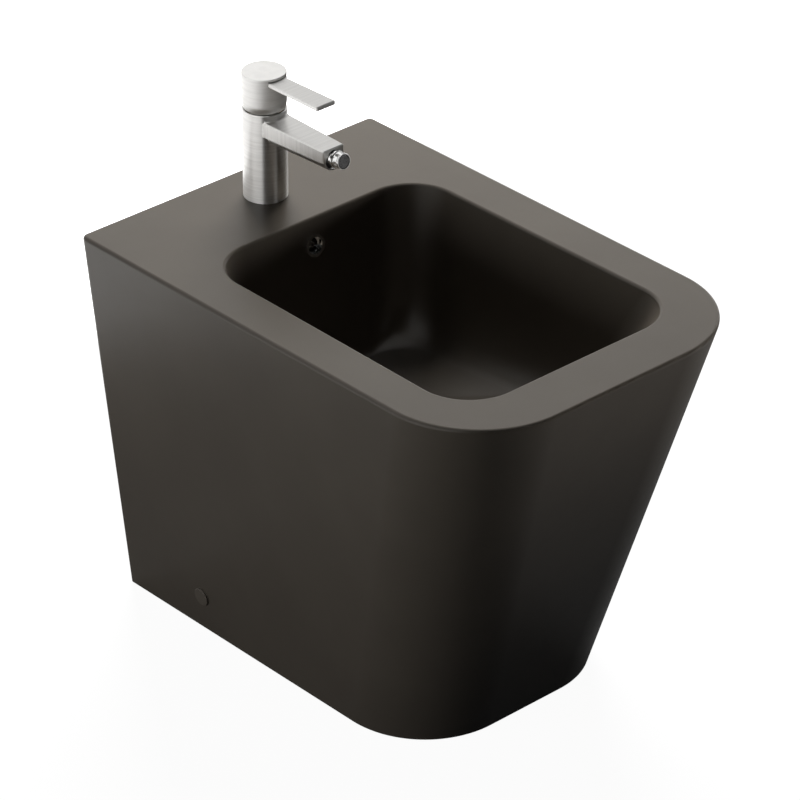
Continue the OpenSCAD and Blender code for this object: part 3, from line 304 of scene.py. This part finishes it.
china_skin = loft(
    "china_skin",
    [(row, GLAZED) for row in basin_skin() + outside_skin()]
    + [(row, BARE) for row in hollow_skin()],
    corner_steps,
)
additions = [
    plate_from("duct", passage_outline(duct_cover), "x", -duct_half, duct_half, BARE),
    round_bar("boss", seat_radius, Vector((0, drain_y, boss_low)),
              Vector((0, drain_y, seat_height - china_thickness / 2)), BARE),
]
drills = [
    plate_from("passage", passage_outline(0), "x", -passage_half, passage_half, BARE),
    plate_from("pipe_gap", pipe_gap_outline, "y", half_depth - china_thickness - clear,
               half_depth + clear, BARE),
    round_bar("waste_drill", waste_hole, Vector((0, drain_y, boss_low - clear)),
              Vector((0, drain_y, seat_height + clear))),
    round_bar("overflow_drill", overflow_hole,
              overflow_at - overflow_out * overflow_drill_in,
              overflow_at + overflow_out * drill_out),
    round_bar("tap_drill", tap_hole, Vector((0, tap_y, ceiling - clear)),
              Vector((0, tap_y, rim_height + clear)), BARE),
]
for side in (-1, 1):
    out = Vector((side * math.cos(side_lean), 0, -math.sin(side_lean)))
    at = Vector((side * fixing_x, half_depth - fixing_from_wall, fixing_z))
    drills.append(
        round_bar("side_drill", cap_hole, at - out * fixing_drill_in, at + out * drill_out)
    )


def carve(piece, tool, operation):
    cut = piece.modifiers.new("cut", "BOOLEAN")
    cut.operation, cut.object, cut.solver = operation, tool, "EXACT"
    cut.material_mode = "INDEX"


def plain_mesh(piece):
    """The mesh that an object's modifiers make of it."""
    bpy.context.view_layer.update()
    evaluated = piece.evaluated_get(bpy.context.evaluated_depsgraph_get())
    return bpy.data.meshes.new_from_object(evaluated)


def settle(piece, name, sharp_degrees=32, weighted=True):
    """Turns a piece with modifiers into a plain smooth-shaded mesh under its final name."""
    if weighted:
        weigh = piece.modifiers.new("weigh", "WEIGHTED_NORMAL")
        weigh.keep_sharp = True
    for polygon in piece.data.polygons:
        polygon.use_smooth = True
    piece.data.set_sharp_from_angle(angle=math.radians(sharp_degrees))
    mesh = plain_mesh(piece)
    piece.modifiers.clear()
    piece.data = mesh
    mesh.name = piece.name = name
    return piece


for tool in additions:
    carve(china_skin, tool, "UNION")
for tool in drills:
    carve(china_skin, tool, "DIFFERENCE")
settle(china_skin, "china_cut", weighted=False)
for tool in additions + drills:
    bpy.data.objects.remove(tool)
china = settle(china_skin, "china")


def feed(tree, socket, source):
    """Joins a socket to another socket, or sets it to a plain value."""
    if isinstance(source, bpy.types.NodeSocket):
        tree.links.new(source, socket)
    else:
        socket.default_value = source


def link_in(tree, node, **sources):
    """Feeds a node's inputs by their names, with _ for a space."""
    for name, source in sources.items():
        feed(tree, node.inputs[name.replace("_", " ")], source)
    return node


def add_node(tree, kind, **sources):
    return link_in(tree, tree.nodes.new(kind), **sources)


def plain_math(tree, operation, *values):
    node = tree.nodes.new("ShaderNodeMath")
    node.operation = operation
    for socket, value in zip(node.inputs, values):
        feed(tree, socket, value)
    return node.outputs[0]


def ramp(tree, value, from_min=0.0, from_max=1.0, to_min=0.0, to_max=1.0):
    """A value between two limits, brought between two others."""
    node = add_node(tree, "ShaderNodeMapRange", Value=value, From_Min=from_min,
                    From_Max=from_max, To_Min=to_min, To_Max=to_max)
    return node.outputs["Result"]


def mixed(tree, kind, factor, first, second):
    """A colour or a vector between two others, each of them plain or a socket."""
    node = tree.nodes.new("ShaderNodeMix")
    node.data_type = kind
    first_input, second_input, result = {"VECTOR": (4, 5, 1), "RGBA": (6, 7, 2)}[kind]
    feed(tree, node.inputs[0], factor)
    feed(tree, node.inputs[first_input], first)
    feed(tree, node.inputs[second_input], second)
    return node.outputs[result]


def tone_between(tree, factor, dark, light):
    """A colour between two tones by a factor."""
    dark, light = (
        (*tone, 1) if isinstance(tone, tuple) else tone for tone in (dark, light)
    )
    return mixed(tree, "RGBA", factor, dark, light)


def new_group(name, kind, inputs, outputs):
    """A node tree with named sockets. Gives the tree and what its inputs put out."""
    tree = bpy.data.node_groups.new(name, kind)
    for label, socket_kind, default in inputs:
        socket = tree.interface.new_socket(
            name=label, in_out="INPUT", socket_type="NodeSocket" + socket_kind
        )
        if default is not None:
            socket.default_value = default
    for label, socket_kind in outputs:
        tree.interface.new_socket(
            name=label, in_out="OUTPUT", socket_type="NodeSocket" + socket_kind
        )
    return tree, tree.nodes.new("NodeGroupInput").outputs


def speckle_group():
    """Soft cloudy value between two limits, for tone and roughness that is never even."""
    tree, given = new_group("speckle", "ShaderNodeTree", (
        ("Vector", "Vector", None), ("Scale", "Float", 40.0), ("Detail", "Float", 4.0),
        ("Low", "Float", 0.0), ("High", "Float", 1.0),
    ), (("Value", "Float"),))
    noise = add_node(tree, "ShaderNodeTexNoise", Vector=given["Vector"],
                     Scale=given["Scale"], Detail=given["Detail"])
    spread = ramp(tree, noise.outputs["Fac"], from_min=0.3, from_max=0.7,
                  to_min=given["Low"], to_max=given["High"])
    add_node(tree, "NodeGroupOutput", Value=spread)
    return tree


speckle = speckle_group()


def new_material(name, colour, roughness, metallic=0.0, specular=0.5):
    """A material with its shader set. Gives the material, its tree and the shader."""
    material = bpy.data.materials.new(name)
    material.use_nodes = True
    material.diffuse_color = (*colour, 1)
    tree = material.node_tree
    shader = link_in(
        tree, tree.nodes["Principled BSDF"], Base_Color=(*colour, 1), Roughness=roughness,
        Metallic=metallic, Specular_IOR_Level=specular,
    )
    return material, tree, shader


def place_vector(tree, scale=(1, 1, 1), at=(0, 0, 0)):
    """Object coordinates, moved and stretched for a pattern on one piece."""
    coordinates = tree.nodes.new("ShaderNodeTexCoord").outputs["Object"]
    mapping = add_node(
        tree, "ShaderNodeMapping", Vector=coordinates, Location=at, Scale=scale
    )
    return mapping.outputs["Vector"]


def use_group(tree, group, **sources):
    node = tree.nodes.new("ShaderNodeGroup")
    node.node_tree = group
    return link_in(tree, node, **sources).outputs


def uneven(tree, where, scale, detail, low=0.0, high=1.0):
    """The speckle at one scale, between two limits."""
    return use_group(
        tree, speckle, Vector=where, Scale=scale, Detail=detail, Low=low, High=high
    )["Value"]


def bump(tree, shader, height, strength, distance, under=None):
    """Relief from a pattern, over the relief under it where that is given."""
    node = add_node(
        tree, "ShaderNodeBump", Strength=strength, Distance=distance, Height=height
    )
    if under is not None:
        link_in(tree, node, Normal=under)
    link_in(tree, shader, Normal=node.outputs["Normal"])
    return node.outputs["Normal"]


glaze_dark, glaze_light = (0.070, 0.060, 0.049), (0.080, 0.069, 0.056)
glaze, tree, shader = new_material("matt_glaze", glaze_light, 0.31, specular=0.22)
where = place_vector(tree)
clouds = uneven(tree, where, scale=9.0, detail=3.0)
silk = uneven(tree, where, scale=160.0, detail=3.0, low=0.29, high=0.33)
ripple = uneven(tree, where, scale=30.0, detail=1.0)
grain = uneven(tree, where, scale=1400.0, detail=2.0)
link_in(tree, shader, Base_Color=tone_between(tree, clouds, glaze_dark, glaze_light),
        Roughness=silk)
wave = bump(tree, shader, ripple, strength=0.10, distance=0.0006)
bump(tree, shader, grain, strength=0.10, distance=0.00012, under=wave)

clay_dark, clay_light = (0.50, 0.45, 0.38), (0.66, 0.61, 0.53)
bare_clay, tree, shader = new_material("bare_clay", (0.62, 0.57, 0.49), 0.85, specular=0.25)
where = place_vector(tree)
clouds = uneven(tree, where, scale=26.0, detail=6.0)
clay = tone_between(tree, clouds, clay_dark, clay_light)
# Overspray of glaze on the clay, thickest at the foot and thinning out upwards.
ragged = uneven(tree, where, scale=34.0, detail=5.0, low=-0.012, high=0.014)
height = add_node(tree, "ShaderNodeSeparateXYZ", Vector=where).outputs["Z"]
above = ramp(tree, plain_math(tree, "ADD", height, ragged), from_min=0.002, from_max=0.022)
link_in(tree, shader, Base_Color=tone_between(tree, above, glaze_light, clay))
grit = uneven(tree, where, scale=700.0, detail=5.0)
bump(tree, shader, grit, strength=0.35, distance=0.0004)

china.data.materials.clear()
china.data.materials.append(glaze)
china.data.materials.append(bare_clay)
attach(china, "bidet")
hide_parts("china_body")


# The overflow is lined with a thin bright ring, held by a small sprung spider behind it.
# Both are pressed brass with a polished chrome plate.
def finish_nodes(material, *names):
    """Gives CAD nodes their material."""
    for name in names:
        materials = nodes[name].data.materials
        materials.clear()
        materials.append(material)


chrome, tree, shader = new_material("chrome_plate", (0.80, 0.80, 0.79), 0.12, metallic=1.0)
where = place_vector(tree)
smear = uneven(tree, where, scale=220.0, detail=3.0, low=0.09, high=0.18)
link_in(tree, shader, Roughness=smear)
dull = uneven(tree, where, scale=600.0, detail=2.0)
bump(tree, shader, dull, strength=0.04, distance=0.0001)
finish_nodes(chrome, "overflow_ring", "overflow_clip")


# The waste is turned brass with a chrome flange and plug. It is pulled up against the
# seat by a cast nut on a fine pipe thread, with rubber above and a cone gasket below.
black = (0.018, 0.018, 0.018)
rubber, tree, shader = new_material("black_rubber", black, 0.7, specular=0.3)
bloom = uneven(tree, place_vector(tree), scale=90.0, detail=5.0)
colour = tone_between(tree, bloom, (0.012, 0.012, 0.012), (0.030, 0.030, 0.029))
link_in(tree, shader, Base_Color=colour)
bump(tree, shader, bloom, strength=0.2, distance=0.0003)

fine_relief = 0.0002
brass, tree, shader = new_material("machined_brass", (0.74, 0.56, 0.27), 0.32, metallic=1.0)
turning = place_vector(tree, scale=(1, 1, 6))
turned = uneven(tree, turning, scale=420.0, detail=3.0, low=0.24, high=0.42)
tarnish = uneven(tree, place_vector(tree), scale=55.0, detail=5.0)
colour = tone_between(tree, tarnish, (0.60, 0.43, 0.19), (0.78, 0.60, 0.31))
link_in(tree, shader, Base_Color=colour, Roughness=turned)
bump(tree, shader, turned, strength=0.12, distance=fine_relief)


def grained(name, colour, roughness, grain, relief=0.0, tones=None, **kind):
    """A finish whose roughness follows one grain: its scale, detail, low and high."""
    material, tree, shader = new_material(name, colour, roughness, **kind)
    pattern = uneven(tree, place_vector(tree), *grain)
    link_in(tree, shader, Roughness=pattern)
    if tones:
        link_in(tree, shader, Base_Color=tone_between(tree, pattern, *tones))
    if relief:
        bump(tree, shader, pattern, strength=relief, distance=fine_relief)
    return material


white_plastic = grained("white_nylon", (0.78, 0.77, 0.73), 0.45, specular=0.4,
                        grain=(380.0, 3.0, 0.38, 0.55), relief=0.15)
steel = grained("zinc_steel", (0.60, 0.60, 0.61), 0.34, metallic=1.0,
                grain=(260.0, 4.0, 0.26, 0.44), relief=0.10)
finish_nodes(chrome, "waste_body", "plug_cap")
finish_nodes(rubber, "waste_upper_seal", "waste_lower_gasket", "plug_seal")
finish_nodes(white_plastic, "waste_washer", "click_housing")
finish_nodes(brass, "waste_nut")
finish_nodes(steel, "plug_spindle", "click_spring")


def shape_tree(name, *sizes):
    """An empty Geometry Nodes tree with named sizes, a finish and one output."""
    inputs = sizes + (("Finish", "Material", None),)
    tree, given = new_group(name, "GeometryNodeTree", inputs, (("Geometry", "Geometry"),))
    tree.is_modifier = True
    return tree, given


def end_tree(tree, given, geometry):
    """Real mesh in its finish, which is how each tree here ends."""
    realize = add_node(tree, "GeometryNodeRealizeInstances", Geometry=geometry)
    finish = add_node(tree, "GeometryNodeSetMaterial", Geometry=realize.outputs[0],
                      Material=given["Finish"])
    add_node(tree, "NodeGroupOutput", Geometry=finish.outputs[0])


def made_by(tree, kind, **sources):
    """What a node of that kind makes when it is fed these."""
    return add_node(tree, kind, **sources).outputs[0]


def thread_tree():
    """A thread's ridge: a flat diamond swept up a spiral, with half of it in the bar."""
    tree, given = shape_tree(
        "screw_thread", ("Radius", "Float", 0.01), ("Depth", "Float", 0.0005),
        ("Pitch", "Float", 0.001), ("Turns", "Float", 8.0), ("Low", "Float", 0.0),
        ("Steps", "Int", 32),
    )
    rise = plain_math(tree, "MULTIPLY", given["Pitch"], given["Turns"])
    spiral = made_by(tree, "GeometryNodeCurveSpiral", Resolution=given["Steps"],
                     Rotations=given["Turns"], Start_Radius=given["Radius"],
                     End_Radius=given["Radius"], Height=rise)
    upright = add_node(tree, "GeometryNodeSetCurveNormal", Curve=spiral)
    upright.mode = "Z_UP"
    diamond = made_by(tree, "GeometryNodeCurvePrimitiveCircle", Resolution=4, Radius=1.0)
    half_pitch = plain_math(tree, "MULTIPLY", given["Pitch"], 0.48)
    stretch = made_by(tree, "ShaderNodeCombineXYZ", X=given["Depth"], Y=half_pitch, Z=1.0)
    flat = made_by(tree, "GeometryNodeTransform", Geometry=diamond, Scale=stretch)
    ridge = made_by(tree, "GeometryNodeCurveToMesh", Curve=upright.outputs[0],
                    Profile_Curve=flat, Fill_Caps=True)
    lift = made_by(tree, "ShaderNodeCombineXYZ", Z=given["Low"])
    placed = made_by(tree, "GeometryNodeTransform", Geometry=ridge, Translation=lift)
    end_tree(tree, given, placed)
    return tree


def grow(name, tree, place, **values):
    """The plain mesh that a tree makes of these values, moved to its place."""
    piece = new_object(name, bmesh.new())
    modifier = piece.modifiers.new(name, "NODES")
    modifier.node_group = tree
    for item in tree.interface.items_tree:
        if item.in_out == "INPUT" and item.name in values:
            modifier[item.identifier] = values[item.name]
    mesh = plain_mesh(piece)
    piece.modifiers.remove(modifier)
    mesh.transform(place)
    piece.data = mesh
    mesh.name = name
    return piece


screw_thread = thread_tree()
tail_radius, tail_length, pipe_pitch = 0.02095, 0.092, 0.002309
waste_thread = grow(
    "waste_thread", screw_thread, Matrix.Translation((0, drain_y, 0)), Radius=tail_radius,
    Depth=0.00045, Pitch=pipe_pitch, Turns=7.5, Low=seat_height - tail_length + pipe_pitch,
    Steps=64, Finish=chrome,
)
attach(waste_thread, "bidet")


# Low on each side a screw goes through a plastic sleeve into a bracket on the floor, and
# a snap-in cap in the colour of the glaze covers it.
cap_finish = grained("cap_plastic", glaze_light, 0.48, specular=0.42,
                     grain=(500.0, 3.0, 0.42, 0.55), relief=0.12)
finish_nodes(cap_finish, "fixing_caps")
finish_nodes(white_plastic, "fixing_sleeves", "floor_brackets")
finish_nodes(steel, "fixing_screws")


# The tap body and its spout are one brass casting, brushed all round and plated in a
# satin nickel colour. The brush ran round the column and across the spout.
def brush_group():
    """Fine parallel scratches with wider soft streaks between them."""
    tree, given = new_group("brush_marks", "ShaderNodeTree", (
        ("Vector", "Vector", None), ("Fine", "Float", 3200.0), ("Wide", "Float", 600.0),
    ), (("Tone", "Float"), ("Height", "Float")))
    fine, wide = (
        add_node(tree, "ShaderNodeTexNoise", Vector=given["Vector"], Scale=given[name],
                 Detail=detail).outputs["Fac"]
        for name, detail in (("Fine", 2.0), ("Wide", 3.0))
    )
    streaks = plain_math(tree, "MULTIPLY_ADD", fine, 0.4, wide)
    tone = ramp(tree, streaks, from_min=0.45, from_max=0.95)
    add_node(tree, "NodeGroupOutput", Tone=tone, Height=fine)
    return tree


def vector_math(tree, operation, *values):
    node = tree.nodes.new("ShaderNodeVectorMath")
    node.operation = operation
    for socket, value in zip(node.inputs, values):
        feed(tree, socket, value)
    return node.outputs["Value" if operation in ("LENGTH", "DOT_PRODUCT") else "Vector"]


brush_marks = brush_group()
nickel_dark, nickel_light = (0.68, 0.67, 0.65), (0.83, 0.82, 0.80)
# Lines are drawn out along x and y round the column, and along x and z on the bars.
column_lines, bar_lines = (0.03, 0.03, 1.0), (0.006, 1.0, 0.006)
shine_stretch = 0.95
tap_radius = 0.0212
round_reach, round_fade = tap_radius + 0.0006, 0.0004


def brushed_metal(name, reach, even_on_top=False):
    """Satin nickel, brushed round the tap's axis out to reach and across beyond it."""
    material, tree, shader = new_material(name, nickel_light, 0.3, metallic=1.0)
    from_axis = place_vector(tree, at=(0, -tap_y, 0))
    flat = vector_math(tree, "MULTIPLY", from_axis, (1.0, 1.0, 0.0))
    distance = vector_math(tree, "LENGTH", flat)
    beyond = ramp(tree, distance, from_min=reach, from_max=reach + round_fade)
    lines = mixed(tree, "VECTOR", beyond,
                  vector_math(tree, "MULTIPLY", from_axis, column_lines),
                  vector_math(tree, "MULTIPLY", from_axis, bar_lines))
    marks = use_group(tree, brush_marks, Vector=lines)
    colour = tone_between(tree, marks["Tone"], nickel_dark, nickel_light)
    roughness = ramp(tree, marks["Tone"], to_min=0.36, to_max=0.44)
    bump(tree, shader, marks["Height"], strength=0.22, distance=0.00004)
    # The scratches spread a reflection at right angles to themselves.
    around = vector_math(tree, "CROSS_PRODUCT", (0.0, 0.0, 1.0), flat)
    to_world = add_node(tree, "ShaderNodeVectorTransform", Vector=around)
    to_world.vector_type, to_world.convert_from = "VECTOR", "OBJECT"
    to_world.convert_to = "WORLD"
    facing = tree.nodes.new("ShaderNodeNewGeometry").outputs["Normal"]
    spread = vector_math(tree, "CROSS_PRODUCT", facing, to_world.outputs["Vector"])
    spread = vector_math(tree, "NORMALIZE", spread)
    link_in(tree, shader, Base_Color=colour, Roughness=roughness, Anisotropic=shine_stretch,
            Tangent=mixed(tree, "VECTOR", beyond, spread, (0, 1, 0)))
    if even_on_top:
        upwards = add_node(tree, "ShaderNodeSeparateXYZ", Vector=facing).outputs["Z"]
        on_side = ramp(tree, upwards, from_min=0.3, from_max=0.8, to_min=shine_stretch,
                       to_max=0.0)
        link_in(tree, shader, Anisotropic=on_side, Anisotropic_Rotation=0.25)
    return material


brushed_round = brushed_metal("nickel_brushed_round", round_reach)
finish_nodes(brushed_round, "tap_body")
finish_nodes(rubber, "tap_base_seal")


# Under the deck one threaded stud, a rubber and a steel horseshoe and a nut hold the tap.
# The stud and the nut are turned brass.
stud_radius, stud_pitch, stud_turns = 0.004, 0.00125, 44.0
stud_behind_axis, stud_down = 0.01015, 0.0715
stud_thread = grow(
    "stud_thread", screw_thread, Matrix.Translation((0, tap_y + stud_behind_axis, 0)),
    Radius=stud_radius, Depth=0.0003, Pitch=stud_pitch, Turns=stud_turns,
    Low=rim_height - stud_down, Steps=20, Finish=brass,
)
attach(stud_thread, "bidet")
finish_nodes(brass, "mounting_stud", "mounting_nut")
finish_nodes(rubber, "clamp_gasket")
finish_nodes(steel, "clamp_plate")


# The cartridge sits in the tap under a ring nut: a nylon shell with two lapped ceramic
# discs, a turning carrier and the square stem that tips on a steel pin.
lapped = grained("lapped_alumina", (0.86, 0.84, 0.78), 0.25, specular=0.6,
                 grain=(150.0, 3.0, 0.20, 0.32))
dark_plastic = grained("dark_plastic", (0.035, 0.035, 0.036), 0.4, specular=0.4,
                       grain=(500.0, 3.0, 0.34, 0.5))
# The ring nut's brass is painted dark as painted shade for the narrow gap between the hub
# and the body, where the nut shows. Its tone also varies at random between two darks.
gap_shade_brass = grained("gap_shade_brass", (0.30, 0.23, 0.13), 0.5, metallic=1.0,
                     grain=(300.0, 4.0, 0.44, 0.60), relief=0.15,
                     tones=((0.20, 0.15, 0.08), (0.36, 0.28, 0.16)))
finish_nodes(white_plastic, "cartridge_housing", "cartridge_base", "disc_driver")
finish_nodes(lapped, "fixed_disc", "moving_disc")
finish_nodes(dark_plastic, "cartridge_carrier")
finish_nodes(gap_shade_brass, "cartridge_nut")
finish_nodes(steel, "pivot_pin", "lever_stem")


# The hub is a turned cap that tips on the stem, and the lever is a flat bar let into it
# and held by a screw from inside. Both have the body's nickel: the lever is brushed
# across, and the hub is brushed on its side and even on its top.
brushed_across = brushed_metal("nickel_brushed_across", 0.0)
brushed_hub = brushed_metal("nickel_brushed_hub", round_reach, even_on_top=True)
finish_nodes(brushed_hub, "lever_hub")
finish_nodes(brushed_across, "lever_bar")
finish_nodes(steel, "lever_screw", "grub_screw")


# The outlet swivels on a ball held in the end of the spout by a ring, and ends in an
# aerator whose insert breaks up the jet, with a screen of steel wire.
def screen_tree():
    """Two layers of straight wires across a round frame."""
    tree, given = shape_tree("wire_screen", ("Radius", "Float", 0.006),
                             ("Wire", "Float", 0.0001), ("Wires", "Int", 20))
    across = plain_math(tree, "MULTIPLY", given["Radius"], 0.97)
    gaps = plain_math(tree, "SUBTRACT", given["Wires"], 1.0)
    gap = plain_math(tree, "DIVIDE", plain_math(tree, "MULTIPLY", across, 2.0), gaps)
    start = plain_math(tree, "MULTIPLY", across, -1.0)
    row = made_by(tree, "GeometryNodeMeshLine", Count=given["Wires"],
                  Start_Location=made_by(tree, "ShaderNodeCombineXYZ", X=start),
                  Offset=made_by(tree, "ShaderNodeCombineXYZ", X=gap))
    wire = made_by(tree, "GeometryNodeMeshLine", Count=2, Start_Location=(0, -1, 0),
                   Offset=(0, 2, 0))
    # Each wire is as long as the frame is wide where it lies.
    where = made_by(tree, "GeometryNodeInputPosition")
    x = add_node(tree, "ShaderNodeSeparateXYZ", Vector=where).outputs["X"]
    half_length = plain_math(tree, "SQRT", plain_math(
        tree, "SUBTRACT", plain_math(tree, "MULTIPLY", given["Radius"], given["Radius"]),
        plain_math(tree, "MULTIPLY", x, x),
    ))
    reach = made_by(tree, "ShaderNodeCombineXYZ", X=1.0, Y=half_length, Z=1.0)
    wires = made_by(tree, "GeometryNodeInstanceOnPoints", Points=row, Instance=wire,
                    Scale=reach)
    layer = made_by(tree, "GeometryNodeRealizeInstances", Geometry=wires)
    drop = made_by(tree, "ShaderNodeCombineXYZ",
                   Z=plain_math(tree, "MULTIPLY", given["Wire"], -1.9))
    crossed = made_by(tree, "GeometryNodeTransform", Geometry=layer,
                      Rotation=(0, 0, math.pi / 2), Translation=drop)
    both = tree.nodes.new("GeometryNodeJoinGeometry")
    for part in (layer, crossed):
        tree.links.new(part, both.inputs[0])
    lines = made_by(tree, "GeometryNodeMeshToCurve", Mesh=both.outputs[0])
    round_wire = made_by(tree, "GeometryNodeCurvePrimitiveCircle", Resolution=6,
                         Radius=given["Wire"])
    cloth = made_by(tree, "GeometryNodeCurveToMesh", Curve=lines, Profile_Curve=round_wire,
                    Fill_Caps=True)
    end_tree(tree, given, cloth)
    return tree


ball_before_axis, ball_up, spray_tilt = 0.0926, 0.074, math.radians(9)
screen_out, screen_radius, screen_wire, screen_wires = 0.01852, 0.00594, 0.0001, 20
ball_at = Vector((0, tap_y - ball_before_axis, rim_height + ball_up))
ball_place = Matrix.Translation(ball_at) @ Matrix.Rotation(math.pi / 2 - spray_tilt, 4, "X")
aerator_screen = grow(
    "aerator_screen", screen_tree(), ball_place @ Matrix.Translation((0, 0, screen_out)),
    Radius=screen_radius, Wire=screen_wire, Wires=screen_wires, Finish=steel,
)
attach(aerator_screen, "aerator")
finish_nodes(chrome, "swivel_socket", "swivel_ball", "aerator_housing")
finish_nodes(dark_plastic, "swivel_liner", "aerator_insert")
finish_nodes(rubber, "swivel_washer", "aerator_washer")


# The studio: a white floor and background, soft lamps and panels, and the camera where
# the photographer stood. The metal mirrors a dark floor with a board and a sheet on it.
def make_floor(half_size, below):
    bm = bmesh.new()
    bmesh.ops.create_grid(bm, x_segments=1, y_segments=1, size=half_size)
    for vertex in bm.verts:
        vertex.co.z = -below
    return new_object("floor", bm)


def white_to_lens(tree, socket, plain, mirrored, seen):
    """One strength for the light that falls, one in mirrors and glass, one for the lens."""
    path = tree.nodes.new("ShaderNodeLightPath").outputs
    either = plain_math(tree, "MAXIMUM", path["Is Glossy Ray"], path["Is Transmission Ray"])
    bounced = ramp(tree, either, to_min=plain, to_max=mirrored)
    feed(tree, socket, ramp(tree, path["Is Camera Ray"], to_min=bounced, to_max=seen))


floor = make_floor(half_size=9, below=0.0004)
dark_floor, pale_floor = (0.07, 0.07, 0.07), (0.80, 0.80, 0.80)
floor_paint, tree, shader = new_material("floor_paint", pale_floor, 0.9, specular=0.0)
away = vector_math(tree, "LENGTH", place_vector(tree))
from_tap = place_vector(tree, at=(0, -tap_y, 0))
# A white board lies on the left, outside the picture.
leftwards = vector_math(tree, "DOT_PRODUCT", from_tap, (-0.60, 0.80, 0.0))
board = plain_math(tree, "MULTIPLY", ramp(tree, away, from_min=0.66, from_max=0.72),
                   ramp(tree, leftwards, from_min=0.0, from_max=0.08))
paint = tone_between(tree, board, dark_floor, pale_floor)
# A grey sheet lies on the right, and the ends of the lever and spout mirror it.
course = vector_math(tree, "NORMALIZE", from_tap)
rightwards = vector_math(tree, "DOT_PRODUCT", course, (0.65, -0.76, 0.0))
sheet = ramp(tree, rightwards, from_min=0.95, from_max=0.985, to_max=0.45)
mirrored = plain_math(
    tree, "MULTIPLY_ADD", sheet, ramp(tree, away, from_min=0.63, from_max=0.68),
    ramp(tree, board, to_min=0.05, to_max=0.67),
)
link_in(tree, shader, Base_Color=paint, Emission_Color=(1, 1, 1, 1))
white_to_lens(tree, shader.inputs["Emission Strength"], plain=0.0, mirrored=mirrored,
              seen=0.96)
floor.data.materials.append(floor_paint)

world = bpy.data.worlds.new("studio")
bpy.context.scene.world = world
world.use_nodes = True
tree = world.node_tree
air = link_in(tree, tree.nodes["Background"], Color=(1, 1, 1, 1))
white_to_lens(tree, air.inputs["Strength"], plain=0.015, mirrored=1.12, seen=1.0)


def soft_lamp(name, at, aim, width, height, watts):
    light = bpy.data.lights.new(name, "AREA")
    light.shape = "RECTANGLE"
    light.size, light.size_y, light.energy = width, height, watts
    lamp = bpy.data.objects.new(name, light)
    lamp.location = at
    lamp.rotation_euler = (Vector(aim) - Vector(at)).to_track_quat("-Z", "Y").to_euler()
    bpy.context.scene.collection.objects.link(lamp)
    return lamp


china_middle, front_rim, tap_middle = (0, 0, 0.25), (0.10, -0.20, 0.54), (0, tap_y, 0.45)
back_lamp = soft_lamp("back_lamp", (0.95, 1.15, 1.60), china_middle, width=1.2,
                      height=1.2, watts=80)
side_lamp = soft_lamp("side_lamp", (-2.4, 0.5, 0.50), china_middle, width=1.4,
                      height=0.8, watts=21)
right_lamp = soft_lamp("right_lamp", (1.6, -1.3, 0.50), front_rim, width=0.6,
                       height=0.3, watts=0.9)
right_lamp.data.spread = math.radians(22)
for lamp in (back_lamp, side_lamp, right_lamp):
    lamp.visible_glossy = False
tall_panel = soft_lamp("tall_panel", (-2.2, -0.3, 0.5), tap_middle, width=2.6,
                       height=1.2, watts=7)
thin_panel = soft_lamp("thin_panel", (0.5, -2.9, 1.0), tap_middle, width=0.8,
                       height=1.8, watts=2)
for lamp in (tall_panel, thin_panel):
    lamp.visible_diffuse = False


def black_card(radius, from_degrees, to_degrees, height, steps=24):
    """A curved black card out of the picture that the metal darkens towards."""
    bm = bmesh.new()
    rows = []
    for k in range(steps + 1):
        angle = math.radians(mix(from_degrees, to_degrees, k / steps))
        x, y = radius * math.cos(angle), radius * math.sin(angle)
        rows.append((bm.verts.new((x, y, 0)), bm.verts.new((x, y, height))))
    for (low_a, high_a), (low_b, high_b) in zip(rows, rows[1:]):
        bm.faces.new((low_a, low_b, high_b, high_a))
    return new_object("black_card", bm)


card = black_card(radius=3.4, from_degrees=-148, to_degrees=-4, height=6.0)
card_paper = new_material("card_paper", (0.02, 0.02, 0.02), 1.0, specular=0.0)[0]
card.data.materials.append(card_paper)
card.visible_camera = False

azimuth, elevation, roll = (math.radians(angle) for angle in (-42.292, 30.560, 0.051))
aimed_at = Vector((0, 0.005, 0.200))
lens_away, lens_left, lens_up = 4.194009, 0.012376, 0.056385
back = Vector((
    math.sin(azimuth) * math.cos(elevation), -math.cos(azimuth) * math.cos(elevation),
    math.sin(elevation),
))
right = Vector((0, 0, 1)).cross(back).normalized()
up = back.cross(right)
right, up = (
    right * math.cos(roll) + up * math.sin(roll),
    up * math.cos(roll) - right * math.sin(roll),
)
lens_at = aimed_at + back * lens_away - right * lens_left + up * lens_up
camera_data = bpy.data.cameras.new("camera")
camera_data.lens, camera_data.sensor_width = 202.632, 36.0
camera_data.clip_end = 60
camera = bpy.data.objects.new("camera", camera_data)
camera.matrix_world = Matrix.Translation(lens_at) @ Matrix(
    ((right.x, up.x, back.x), (right.y, up.y, back.y), (right.z, up.z, back.z))
).to_4x4()
bpy.context.scene.collection.objects.link(camera)
bpy.context.scene.camera = camera
bpy.context.scene.view_settings.view_transform = "Standard"
